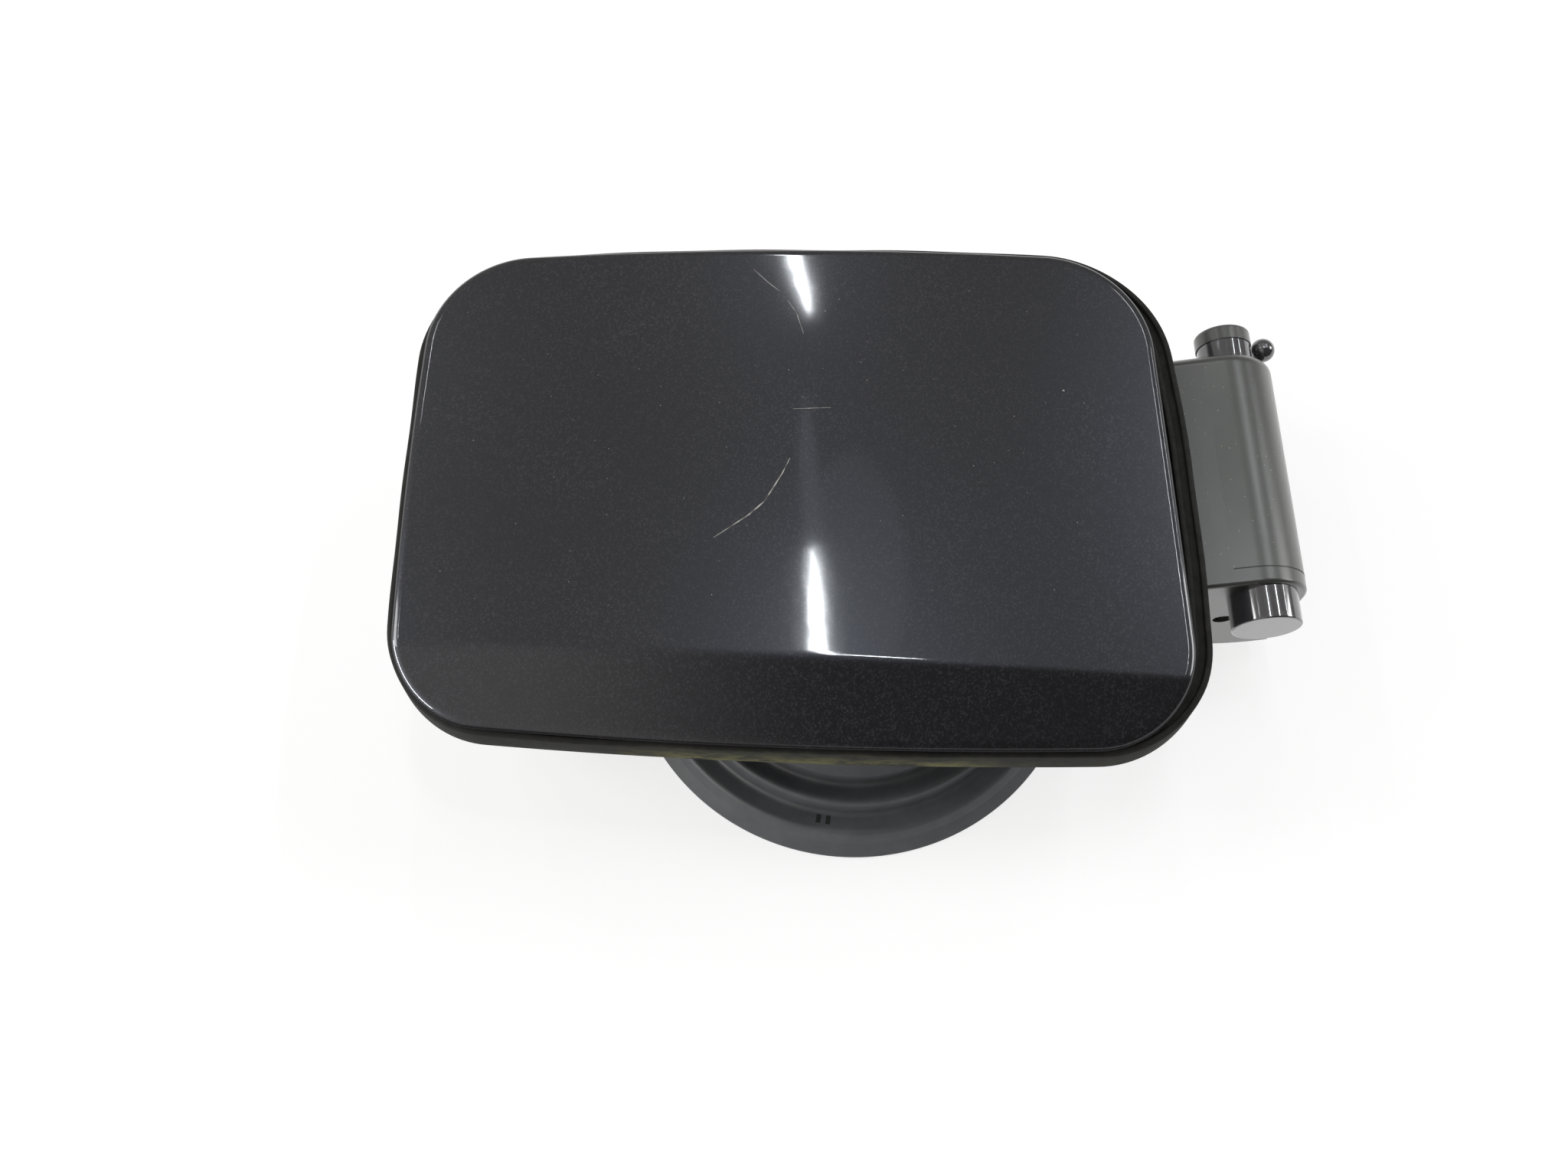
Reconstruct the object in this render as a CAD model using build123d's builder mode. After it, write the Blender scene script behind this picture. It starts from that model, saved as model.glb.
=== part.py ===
from build123d import *
from math import asin, cos, degrees, radians, sin, sqrt, tan
import os

# Car fuel door: a hinged flap over a filler pot, with a rubber boot for the filler neck.
# Frame: Z is the filler neck's axis and points out of the car, with z = 0 at the boot's foot.
# X points to the hinge, whose pin is parallel to Y. All sizes are in millimetres.

os.makedirs("parts", exist_ok=True)

# Hinge pin, and the flap's edge beside it
hinge_x = 92.3
hinge_z = 40.0
edge_to_pin = 22.3

# Flap outline: size at its middle, slope of its edges, bulge and corner radii
flap_w = 169.4
flap_h = 117.2
flap_y = 15.6
top_fall = 2.9
bottom_fall = 5.0
free_lean = 4.8
free_bulge = 1.2
bottom_bulge = 3.9
corner_top_hinge = 25.0
corner_top_free = 22.0
corner_bottom_free = 18.0
corner_bottom_hinge = 20.0

# Painted face: height, crown radii and the swage line below which it turns in
flap_z = 64.0
crown_r = 800.0
crown_v = 1200.0
crease_fall = 5.5
crease_below = 40.0
crease_r = 8.0
lower_tilt = 16.0

# Pressed panels and the hem that joins them
skin_t = 1.0
panel_t = 1.0
hem_w = 7.0
hem_r = 1.4
hem_gap = 0.3
pan_in = 10.0
pan_wall = 1.2
pan_depth = 5.0

# Pot: walls, floor, flange and the seal round the flange
floor_z = 20.0
floor_t = 2.4
wall_t = 2.2
wall_in = 5.8
wall_draft = 3.3
rib_t = 1.8
rib_out = 3.0
rib_pitch = 28.0
rib_below = 0.6
rib_foot = 31.0
rim_free = 3.2
rim_hinge = 5.0
rim_top = 2.5
rim_bottom = 0.8
seal_top = 5.0
seal_bottom = 12.0
seal_w = 4.6
seal_grip = 2.0
seal_r = 0.8
lip_w = 1.4
lip_h = 1.2
flange_top = 7.5
flange_t = 2.2

# Hinge box on the pot, in section about the pin, and its end cap
box_y0 = -8.3
cap_t = 4.0
cap_plug = 2.5
cap_boss_r = 4.6
cap_screw_x = -5.3
cap_screw_z = -15.8
cap_screw_r = 1.3
cap_head_r = 2.1
box_r = 36.0
box_right = 10.9
box_left = 31.0
roof_low = 4.2
roof_slope = 9.9
roof_round = 12.2
roof_knee = 14.1
box_round = 1.0
end_round = 3.0

# Goose-neck arm
arm_y0 = 3.0
arm_w = 32.0
arm_t = 4.5
neck_r = 30.5
neck_end = 155.0
spoke_angle = 282.0
hub_r = 6.2
foot_x0 = 24.0
foot_t = 3.0
foot_bite = 1.2
arm_gap = 1.1
arm_play = 0.2
pocket_deep = 1.8
pocket_wall = 3.0
pocket_start = 172.0
pocket_end = 262.0
window_extra = 2.6
screw_end = 8.0
screw_side = 7.0
screw_step = 18.0

# Pin and the pieces on its ends
pin_r = 2.5
pin_run = 0.05
pin_seat = 0.02
lower_cap_r = 8.0
lower_cap_l = 7.9
lower_cap_edge = 0.4
neck_bush_r = 6.35
neck_bush_l = 4.8
end_cap_r = 6.6
end_cap_l = 3.7
end_cap_edge = 0.8
spigot_r = 5.2
spigot_l = 2.8

# Return spring and its ball-headed peg
coil_r = 5.2
wire_r = 0.6
coil_pitch = 1.6
coil_whole = 5
coil_gap = 1.0
spring_room = 1.8
leg_l = 13.0
fixed_leg_l = 8.0
peg_r = 1.2
peg_below = 5.0
peg_out = 0.8
ball_r = 2.9
ball_x = 102.5
ball_up = 5.2
ball_z = 38.0

# Rubber boot: foot, skirt, two corrugations and the collar that snaps in the floor
foot_r = 56.3
foot_bore_r = 52.0
foot_bore_h = 4.4
skirt_r = 51.4
skirt_h = 7.4
fold_r = 46.2
fold_pitch = 6.2
fold_in = 0.7
fold_h = 6.2
fold_rise = 2.9
boot_t = 1.9
collar_r = 36.0
hole_r = 31.0
neck_bore_r = 25.5
lip_up = 2.6

# Screws, rivets and the small fittings
screw_r = 2.5
screw_head_r = 4.5
screw_head_h = 2.6
nut_across = 8.0
nut_h = 3.0
rivet_r = 1.6
rivet_head_r = 3.0
rivet_head_h = 0.9
hole_play = 0.15
tail_r = 2.4
fix_hole_r = 2.6
fix_spacing = 90.0
fix_y = 42.0
drain_r = 4.2
drain_bore_r = 2.8
drain_l = 11.0
drain_left = 56.0
drain_down = 37.0
lock_z = 36.0
lock_bore_r = 4.1
boss_wall = 3.0
boss_l = 8.0
grommet_r = 6.0
grommet_lip = 2.0
buffer_r = 1.5
buffer_in = 3.2
bulb_r = 1.05

# Latch hook and cap holder, bent from strip and riveted to the pan
plate_t = 2.0
leg_in = 14.0
eye_play = 0.6
hook_w = 14.0
hook_base_l = 20.0
hook_base_w = 26.0
hook_rivet_in = 8.0
hook_rivet_span = 18.0
holder_left = 6.0
holder_up = 8.0
holder_l = 36.0
holder_w = 18.0
holder_rivet_span = 26.0
prong_h = 13.0
prong_gap = 12.0

# Derived places
edge_x = hinge_x - edge_to_pin
mid_x = edge_x - flap_w / 2
coil_y = arm_y0 + arm_w + coil_gap + wire_r
box_y1 = coil_y + coil_pitch * (coil_whole + 1) + spring_room + wall_t
ball_y = box_y1 + ball_up
crown_arc = 19.0
reach = 150.0
above = -reach / 3
near = 0.1
across = Vector(cos(radians(crease_fall)), -sin(radians(crease_fall)), 0)
upward = Vector(sin(radians(crease_fall)), cos(radians(crease_fall)), 0)
crown_centre = Vector(mid_x, flap_y, flap_z - crown_r)
crown_axis = Axis(crown_centre, upward)


def turned(angle):
    """Direction out of the crown axis at an angle from straight up."""
    return Vector(0, 0, 1) * cos(radians(angle)) + across * sin(radians(angle))


crown_start = Plane(crown_centre, x_dir=upward, z_dir=upward.cross(turned(-crown_arc / 2)))


def sag(v):
    """How far the painted face falls away above and below the flap's middle."""
    return crown_v - sqrt(crown_v**2 - v**2)


def on_face(x, y, depth):
    """Plane at a depth under the painted face, on the axis square to the pan's underside at x, y."""
    from_middle = Vector(x - mid_x, y - flap_y, 0)
    u = from_middle.dot(across)
    v = from_middle.dot(upward)
    radius = crown_r - pan_depth - panel_t - sag(v)
    out = turned(degrees(asin(u / radius))) * sqrt(1 - (v / crown_v) ** 2) + upward * (v / crown_v)
    z = crown_centre.Z + sqrt(radius**2 - u**2)
    return Plane((x, y, z), z_dir=out).offset(pan_depth + panel_t - depth)


def corners(free, hinge, top, bottom):
    """Sharp corners of the flap's outline with each side moved out by its own amount."""
    right = edge_x + hinge
    left_top = edge_x - flap_w + free_bulge + free_lean - free
    left_bottom = edge_x - flap_w + free_bulge - free_lean - free
    top_y = flap_y + flap_h / 2 + top
    bottom_y = flap_y - flap_h / 2 + bottom_bulge - bottom
    fall = tan(radians(top_fall))
    lower_fall = tan(radians(bottom_fall))
    top_hinge = Vector(right, top_y - fall * (right - mid_x))
    top_free = Vector(left_top, top_y - fall * (left_top - mid_x))
    bottom_free = Vector(left_bottom, bottom_y - lower_fall * (left_bottom - mid_x))
    bottom_hinge = Vector(right, bottom_y - lower_fall * (right - mid_x))
    return top_hinge, top_free, bottom_free, bottom_hinge


def free_x(y):
    """Place of the flap's bulged free edge at a height."""
    _, top_free, bottom_free, _ = corners(0, 0, 0, 0)
    share = (y - bottom_free.Y) / (top_free.Y - bottom_free.Y)
    return bottom_free.X + (top_free.X - bottom_free.X) * share - 4 * free_bulge * share * (1 - share)


def outline(free, hinge, top, bottom):
    """The flap's rounded outline with each side moved out by its own amount."""
    top_hinge, top_free, bottom_free, bottom_hinge = corners(free, hinge, top, bottom)
    middle_free = (top_free + bottom_free) / 2 - Vector(free_bulge, 0)
    middle_bottom = (bottom_free + bottom_hinge) / 2 - Vector(0, bottom_bulge)
    with BuildSketch() as sheet:
        with BuildLine():
            Polyline(bottom_hinge, top_hinge, top_free)
            ThreePointArc(top_free, middle_free, bottom_free)
            ThreePointArc(bottom_free, middle_bottom, bottom_hinge)
        make_face()
        for corner, radius in (
            (top_hinge, corner_top_hinge + (top + hinge) / 2),
            (top_free, corner_top_free + (top + free) / 2),
            (bottom_free, corner_bottom_free + (bottom + free) / 2),
            (bottom_hinge, corner_bottom_hinge + (bottom + hinge) / 2),
        ):
            fillet(sheet.vertices().sort_by_distance(corner)[0], radius)
    return sheet.sketch


def flap_sheet(grow):
    """The flap's outline moved out evenly."""
    return outline(grow, grow, grow, grow)


def rim_sheet(grow):
    """The seal's outer outline moved out evenly."""
    return outline(rim_free + grow, rim_hinge + grow, rim_top + grow, rim_bottom + grow)


def block_sheet(x, y, length, width):
    """A plain rectangle in plan."""
    with BuildSketch() as sheet:
        with Locations((x, y)):
            Rectangle(length, width)
    return sheet.sketch


def layer(top, bottom, sheet):
    """A layer that follows the painted face between two depths, cut to a plan outline."""
    high = reach * 0.6
    low = -reach * 0.6
    crease = -crease_below
    rise = tan(radians(lower_tilt))
    with BuildPart() as slab:
        with BuildSketch(crown_start) as section:
            with BuildLine():
                outer = crown_r - top
                inner = crown_r - bottom
                ThreePointArc((high, outer - sag(high)), (0, outer), (crease, outer - sag(crease)))
                Line((crease, outer - sag(crease)), (low, outer - sag(crease) + rise * (low - crease)))
                Line(
                    (low, outer - sag(crease) + rise * (low - crease)),
                    (low, inner - sag(crease) + rise * (low - crease)),
                )
                Line((low, inner - sag(crease) + rise * (low - crease)), (crease, inner - sag(crease)))
                ThreePointArc((crease, inner - sag(crease)), (0, inner), (high, inner - sag(high)))
                Line((high, inner - sag(high)), (high, outer - sag(high)))
            make_face()
            fillet(section.vertices().filter_by_position(Axis.X, crease - near, crease + near), crease_r)
        revolve(axis=crown_axis, revolution_arc=crown_arc)
        extrude(sheet, amount=reach, mode=Mode.INTERSECT)
    return slab.part


def rim_edges(part):
    """Edges that run round a layer along its top and bottom."""
    sides = part.faces().filter_by(lambda face: abs(face.normal_at().Z) < near)
    return ShapeList(set(sides.edges())) - sides.edges().filter_by(Axis.Z)


def hinge_plane(y):
    """Plane across the pin; its normal points down the pin, to lower y."""
    return Plane((hinge_x, y, hinge_z), x_dir=(1, 0, 0), z_dir=(0, -1, 0))


def box_sheet(inset):
    """Section of the hinge box about the pin, moved in by the wall's thickness or by a play."""
    roof_high = roof_low + tan(radians(roof_slope)) * (box_left + box_right)
    with BuildSketch() as section:
        Circle(box_r)
        with BuildLine():
            Polyline(
                (-box_left, -box_r),
                (-box_left, roof_low),
                (box_right, roof_high),
                (box_right, -box_r),
                close=True,
            )
        make_face(mode=Mode.INTERSECT)
        fillet(section.vertices().sort_by_distance((box_right, roof_high))[0], roof_round)
        if inset > 0:
            offset(amount=-inset, kind=Kind.INTERSECTION)
    return section.sketch


def tub_block(grow, bottom):
    """Solid in the shape of the pot's walls, moved out evenly, from a floor height upward."""
    low_in = wall_in + tan(radians(wall_draft)) * (hinge_z - bottom)
    high_in = wall_in - tan(radians(wall_draft)) * (flap_z - hinge_z)
    with BuildPart() as block:
        with BuildSketch(Plane.XY.offset(bottom)):
            add(flap_sheet(grow - low_in))
        with BuildSketch(Plane.XY.offset(flap_z)):
            add(flap_sheet(grow - high_in))
        loft(ruled=True)
    return block.part


# Painted skin: the crowned face with its edge folded round the inner panel
hem_depth = skin_t + panel_t + skin_t
skin_block = layer(0, hem_depth, flap_sheet(0))
hem_pocket = layer(skin_t, skin_t + panel_t, flap_sheet(-skin_t))
hem_open = layer(skin_t, hem_depth + skin_t, flap_sheet(-skin_t - hem_w))
with BuildPart() as flap_skin:
    add(skin_block)
    fillet(rim_edges(flap_skin), hem_r)
    add(hem_pocket, mode=Mode.SUBTRACT)
    add(hem_open, mode=Mode.SUBTRACT)
flap_skin.part.label = "flap_skin"
export_step(flap_skin.part, "parts/flap_skin.step")

# Inner panel: a flange in the hem and a drawn pan that stiffens the flap
pan_bottom = pan_depth + panel_t
panel_flange = layer(skin_t, skin_t + panel_t, flap_sheet(-skin_t - hem_gap))
pan_block = layer(skin_t + panel_t, pan_bottom, flap_sheet(-pan_in))
pan_hollow = layer(0, pan_depth, flap_sheet(-pan_in - pan_wall))
arm_mid_y = arm_y0 + arm_w / 2
screw_x = foot_x0 + screw_end
screw_rows = [
    (screw_x, arm_y0 + screw_side),
    (screw_x, arm_y0 + arm_w - screw_side),
    (screw_x + screw_step, arm_mid_y),
]
leg_x = free_x(flap_y) + leg_in
hook_rivet_x = leg_x + hook_base_l - hook_rivet_in
hook_rows = [(hook_rivet_x, flap_y - hook_rivet_span / 2), (hook_rivet_x, flap_y + hook_rivet_span / 2)]
holder_x = mid_x - holder_left
holder_y = flap_y + holder_up
holder_rows = [(holder_x - holder_rivet_span / 2, holder_y), (holder_x + holder_rivet_span / 2, holder_y)]
with BuildPart() as flap_inner_panel:
    add(panel_flange)
    add(pan_block)
    add(pan_hollow, mode=Mode.SUBTRACT)
    with Locations([on_face(x, y, pan_bottom) for x, y in screw_rows]):
        Cylinder(screw_r + hole_play, 4 * panel_t, mode=Mode.SUBTRACT)
    with Locations([on_face(x, y, pan_bottom) for x, y in hook_rows + holder_rows]):
        Cylinder(rivet_r, 4 * panel_t, mode=Mode.SUBTRACT)
flap_inner_panel.part.label = "flap_inner_panel"
export_step(flap_inner_panel.part, "parts/flap_inner_panel.step")

# Goose-neck arm: hub on the pin, spoke down from it, neck round the flange and foot on the pan
foot_bottom = pan_bottom + foot_t
neck_in = sqrt((neck_r - arm_t / 2) ** 2 - (flap_z - foot_bottom - hinge_z) ** 2)
foot_x1 = hinge_x - neck_in - foot_bite
foot_sheet = block_sheet((foot_x0 + foot_x1) / 2, arm_mid_y, foot_x1 - foot_x0, arm_w)
arm_foot = layer(pan_bottom, foot_bottom, foot_sheet)
with BuildPart() as hinge_arm:
    with BuildSketch(hinge_plane(arm_y0 + arm_w)):
        Circle(neck_r + arm_t / 2)
        Circle(neck_r - arm_t / 2, mode=Mode.SUBTRACT)
        with BuildLine():
            Polyline(
                (0, 0),
                (2 * box_r * cos(radians(neck_end)), 2 * box_r * sin(radians(neck_end))),
                (-2 * box_r, -2 * box_r),
                (2 * box_r * cos(radians(spoke_angle)), 2 * box_r * sin(radians(spoke_angle))),
                close=True,
            )
        make_face(mode=Mode.INTERSECT)
        with Locations((neck_r / 2 * cos(radians(spoke_angle)), neck_r / 2 * sin(radians(spoke_angle)))):
            Rectangle(neck_r, arm_t, rotation=spoke_angle)
        with Locations((neck_r * cos(radians(spoke_angle)), neck_r * sin(radians(spoke_angle)))):
            Circle(arm_t / 2)
        Circle(hub_r)
    extrude(amount=arm_w)
    pocket_w = (arm_w - 3 * pocket_wall) / 2
    for y in (arm_y0 + arm_w - pocket_wall, arm_y0 + pocket_wall + pocket_w):
        with BuildSketch(hinge_plane(y)):
            Circle(2 * neck_r)
            Circle(neck_r + arm_t / 2 - pocket_deep, mode=Mode.SUBTRACT)
            with BuildLine():
                Polyline(
                    (0, 0),
                    (4 * neck_r * cos(radians(pocket_start)), 4 * neck_r * sin(radians(pocket_start))),
                    (-4 * neck_r, -4 * neck_r),
                    (4 * neck_r * cos(radians(pocket_end)), 4 * neck_r * sin(radians(pocket_end))),
                    close=True,
                )
            make_face(mode=Mode.INTERSECT)
        extrude(amount=pocket_w, mode=Mode.SUBTRACT)
    add(arm_foot)
    with BuildSketch(hinge_plane(arm_y0 + arm_w)):
        Circle(pin_r + pin_run)
    extrude(amount=arm_w, mode=Mode.SUBTRACT)
    with Locations([on_face(x, y, foot_bottom) for x, y in screw_rows]):
        Cylinder(screw_r + hole_play, 4 * foot_t, mode=Mode.SUBTRACT)
hinge_arm.part.label = "hinge_arm"
export_step(hinge_arm.part, "parts/hinge_arm.step")

# Screws of the foot, heads under it, and their nuts inside the pan
with BuildPart() as arm_screws:
    with Locations([on_face(x, y, foot_bottom + pin_seat) for x, y in screw_rows]):
        Cylinder(screw_r, foot_t + panel_t + nut_h, align=(Align.CENTER, Align.CENTER, Align.MIN))
        Cylinder(screw_head_r, screw_head_h, align=(Align.CENTER, Align.CENTER, Align.MAX))
arm_screws.part.label = "arm_screws"
export_step(arm_screws.part, "parts/arm_screws.step")

with BuildPart() as clip_nuts:
    for x, y in screw_rows:
        with BuildSketch(on_face(x, y, pan_depth)):
            RegularPolygon(nut_across / 2, 6, major_radius=False)
            Circle(screw_r + pin_seat, mode=Mode.SUBTRACT)
        extrude(amount=nut_h)
clip_nuts.part.label = "clip_nuts"
export_step(clip_nuts.part, "parts/clip_nuts.step")

# Catch on the free side, with an eye for the lock pin
hook_sheet = block_sheet(leg_x + hook_base_l / 2, flap_y, hook_base_l, hook_base_w)
hook_base = layer(pan_bottom, pan_bottom + plate_t, hook_sheet)
hook_cut = layer(above, pan_bottom, block_sheet(leg_x, flap_y, 2 * hook_base_l, 2 * hook_base_w))
eye_plane = Plane((leg_x, flap_y, lock_z), x_dir=(0, 1, 0), z_dir=(1, 0, 0))
with BuildPart() as latch_hook:
    add(hook_base)
    with BuildSketch(eye_plane):
        Circle(hook_w / 2)
        with Locations((0, (flap_z - lock_z) / 2 - pan_bottom)):
            Rectangle(hook_w, flap_z - lock_z - pan_bottom)
    extrude(amount=1.5 * plate_t)
    add(hook_cut, mode=Mode.SUBTRACT)
    with BuildSketch(eye_plane):
        Circle(lock_bore_r + eye_play)
    extrude(amount=2 * plate_t, mode=Mode.SUBTRACT)
    with Locations([on_face(x, y, pan_bottom) for x, y in hook_rows]):
        Cylinder(rivet_r, 4 * plate_t, mode=Mode.SUBTRACT)
latch_hook.part.label = "latch_hook"
export_step(latch_hook.part, "parts/latch_hook.step")

# Bracket on the flap's inside that holds the filler cap: a base and two hooked prongs
holder_base = layer(pan_bottom, pan_bottom + plate_t, block_sheet(holder_x, holder_y, holder_l, holder_w))
holder_cut = layer(above, pan_bottom, block_sheet(holder_x, holder_y, 2 * holder_l, 2 * holder_w))
holder_end = (holder_x, holder_y + holder_w / 2, flap_z - pan_bottom)
holder_plane = Plane(holder_end, x_dir=(1, 0, 0), z_dir=(0, -1, 0))
with BuildPart() as cap_holder:
    add(holder_base)
    with BuildSketch(holder_plane):
        with Locations((prong_gap / 2, 0), (-prong_gap / 2, 0)):
            Rectangle(plate_t, plate_t + prong_h, align=(Align.CENTER, Align.MAX))
            with Locations((0, -plate_t - prong_h)):
                Circle(plate_t)
    extrude(amount=holder_w)
    add(holder_cut, mode=Mode.SUBTRACT)
    with Locations([on_face(x, y, pan_bottom) for x, y in holder_rows]):
        Cylinder(rivet_r, 4 * plate_t, mode=Mode.SUBTRACT)
cap_holder.part.label = "cap_holder"
export_step(cap_holder.part, "parts/cap_holder.step")

# Rivets: domed head under the plate, closed head on the pan
with BuildPart() as blind_rivets:
    with Locations([on_face(x, y, pan_bottom + plate_t + pin_seat) for x, y in hook_rows + holder_rows]):
        Cylinder(rivet_r, plate_t + panel_t + pin_seat, align=(Align.CENTER, Align.CENTER, Align.MIN))
        Cylinder(rivet_head_r, rivet_head_h, align=(Align.CENTER, Align.CENTER, Align.MAX))
    with Locations([on_face(x, y, pan_depth) for x, y in hook_rows + holder_rows]):
        Cylinder(tail_r, 2 * rivet_head_h, align=(Align.CENTER, Align.CENTER, Align.MIN))
blind_rivets.part.label = "blind_rivets"
export_step(blind_rivets.part, "parts/blind_rivets.step")

# Pot: tub with a flange that follows the flap, hinge box, lock boss and drain spout, in one moulding
window_x = neck_r - arm_t / 2 - arm_gap - window_extra
cavity_r = neck_r + arm_t / 2 + arm_gap
lock_x = free_x(flap_y) + wall_in + wall_t
boss_r = grommet_r + boss_wall
drain_x = mid_x - drain_left
drain_y = flap_y - drain_down
buffer_rows = [(free_x(y) + buffer_in, y) for y in (flap_y - flap_h / 8, flap_y + flap_h / 4)]
tub_outer = tub_block(0, floor_z)
rib_block = tub_block(rib_out, rib_foot)
rib_top = layer(above, seal_bottom + rib_below, block_sheet(mid_x, flap_y, 1.5 * flap_w, 1.5 * flap_h))
with BuildPart() as wall_ribs:
    with Locations((mid_x, flap_y, hinge_z)):
        with GridLocations(rib_pitch, 0, 5, 1):
            Box(rib_t, 2 * flap_h, 2 * box_r)
    with Locations((mid_x - flap_w / 2, flap_y, hinge_z)):
        with GridLocations(0, 2 * rib_pitch, 1, 2):
            Box(flap_w / 2, rib_t, 2 * box_r)
    add(rib_block, mode=Mode.INTERSECT)
    add(rib_top, mode=Mode.SUBTRACT)
with BuildPart() as hinge_box:
    with BuildSketch(hinge_plane(box_y1)):
        add(box_sheet(0))
    extrude(amount=box_y1 - box_y0 - cap_t)
    fillet(hinge_box.edges().group_by(Axis.Y)[-1], end_round)
tub_inner = tub_block(-wall_t, floor_z + floor_t)
flange = layer(flange_top, flange_top + flange_t, rim_sheet(-seal_grip))
flange_mid = flange_top + flange_t / 2
above_flange = layer(above, flange_mid, block_sheet(mid_x, flap_y, 1.5 * flap_w, 1.5 * flap_h))
with BuildPart() as filler_pot:
    add(tub_outer)
    add(wall_ribs.part)
    add(hinge_box.part)
    with BuildSketch(hinge_plane(arm_y0 + arm_w + arm_gap + wall_t)):
        with Locations((-box_left, -box_r / 4)):
            Rectangle(
                box_left - window_x + wall_t,
                flap_z - hinge_z + box_r / 4,
                align=(Align.MIN, Align.MIN),
            )
    extrude(amount=arm_w + 2 * arm_gap + 2 * wall_t)
    add(above_flange, mode=Mode.SUBTRACT)
    add(flange)
    add(tub_inner, mode=Mode.SUBTRACT)
    with BuildSketch(hinge_plane(box_y1 - wall_t)):
        add(box_sheet(wall_t))
    extrude(amount=box_y1 - wall_t - box_y0, mode=Mode.SUBTRACT)
    with BuildSketch(hinge_plane(arm_y0 + arm_w + arm_gap)):
        Circle(cavity_r)
        with BuildLine():
            Polyline(
                (-box_r, -box_r),
                (-box_r, box_r / 2),
                (-window_x, box_r / 2),
                (-window_x, roof_low - wall_t),
                (-roof_knee, roof_low - wall_t),
                (-roof_knee, -box_r),
                close=True,
            )
        make_face(mode=Mode.INTERSECT)
    extrude(amount=arm_w + 2 * arm_gap, mode=Mode.SUBTRACT)
    with Locations(Plane((lock_x, flap_y, lock_z), z_dir=(-1, 0, 0))):
        Cylinder(boss_r, boss_l)
        Cylinder(grommet_r, 2 * boss_l, mode=Mode.SUBTRACT)
    with Locations((drain_x, drain_y, floor_z + floor_t)):
        Cylinder(drain_r, drain_l + floor_t, align=(Align.CENTER, Align.CENTER, Align.MAX))
        Cylinder(drain_bore_r, 3 * drain_l, mode=Mode.SUBTRACT)
    with Locations((0, 0, floor_z)):
        Cylinder(hole_r, 4 * floor_t, mode=Mode.SUBTRACT)
    with Locations((mid_x - fix_spacing / 2, fix_y, floor_z), (mid_x + fix_spacing / 2, fix_y, floor_z)):
        Cylinder(fix_hole_r, 4 * floor_t, mode=Mode.SUBTRACT)
    with Locations([on_face(x, y, flange_top) for x, y in buffer_rows]):
        Cylinder(buffer_r / 2, 4 * flange_t, mode=Mode.SUBTRACT)
    with BuildSketch(hinge_plane(box_y1)):
        Circle(spigot_r + pin_seat)
        with Locations((coil_r + wire_r + peg_r + pin_seat, -peg_below)):
            Circle(peg_r + pin_seat)
    extrude(amount=wall_t, mode=Mode.SUBTRACT)
filler_pot.part.label = "filler_pot"
export_step(filler_pot.part, "parts/filler_pot.step")

# Edge seal: a rubber channel on the flange with two lips on top
seal_block = layer(seal_top, seal_bottom, rim_sheet(0))
seal_inside = layer(seal_top - lip_h, seal_bottom + lip_h, rim_sheet(-seal_w))
lip_block = layer(seal_top - lip_h, seal_top + lip_h, rim_sheet(-lip_w))
lip_inside = layer(seal_top - 2 * lip_h, seal_top + 2 * lip_h, rim_sheet(lip_w - seal_w))
with BuildPart() as lip_groove:
    add(lip_block)
    add(lip_inside, mode=Mode.SUBTRACT)
with BuildPart() as rim_seal:
    add(seal_block)
    fillet(rim_edges(rim_seal), seal_r)
    add(seal_inside, mode=Mode.SUBTRACT)
    add(flange, mode=Mode.SUBTRACT)
    add(lip_groove.part, mode=Mode.SUBTRACT)
rim_seal.part.label = "rim_seal"
export_step(rim_seal.part, "parts/rim_seal.step")

# End cap of the hinge box: cover, plug in the box, boss round the pin and a screw recess
cap_inner = box_y0 + cap_t
tub_clear = tub_block(hole_play, floor_z - hole_play)
with BuildPart() as hinge_end_cap:
    with BuildSketch(hinge_plane(cap_inner)):
        add(box_sheet(0))
    extrude(amount=cap_t)
    fillet(hinge_end_cap.edges().group_by(Axis.Y)[0], box_round)
    with BuildSketch(hinge_plane(cap_inner + cap_plug)):
        add(box_sheet(wall_t + hole_play))
        add(box_sheet(2 * wall_t), mode=Mode.SUBTRACT)
    extrude(amount=cap_plug)
    with BuildSketch(hinge_plane(arm_y0 - arm_play)):
        Circle(cap_boss_r)
    extrude(amount=arm_y0 - arm_play - cap_inner)
    add(tub_clear, mode=Mode.SUBTRACT)
    with BuildSketch(hinge_plane(box_y0 + spigot_l)):
        Circle(spigot_r + pin_seat)
    extrude(amount=spigot_l, mode=Mode.SUBTRACT)
    with BuildSketch(hinge_plane(arm_y0)):
        Circle(pin_r + pin_run)
        with Locations((cap_screw_x, cap_screw_z)):
            Circle(cap_screw_r)
    extrude(amount=arm_y0 - box_y0, mode=Mode.SUBTRACT)
    with BuildSketch(hinge_plane(box_y0 + cap_t / 2)):
        with Locations((cap_screw_x, cap_screw_z)):
            Circle(cap_head_r + hole_play)
    extrude(amount=cap_t / 2, mode=Mode.SUBTRACT)
hinge_end_cap.part.label = "hinge_end_cap"
export_step(hinge_end_cap.part, "parts/hinge_end_cap.step")

with BuildPart() as end_cap_screw:
    with BuildSketch(hinge_plane(box_y0 + cap_t / 2)):
        with Locations((cap_screw_x, cap_screw_z)):
            Circle(cap_head_r)
    extrude(amount=cap_t / 4)
    with BuildSketch(hinge_plane(box_y0 + cap_t / 2)):
        with Locations((cap_screw_x, cap_screw_z)):
            Circle(cap_screw_r - pin_seat)
    extrude(amount=-cap_t / 2 - cap_plug)
end_cap_screw.part.label = "end_cap_screw"
export_step(end_cap_screw.part, "parts/end_cap_screw.step")

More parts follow.
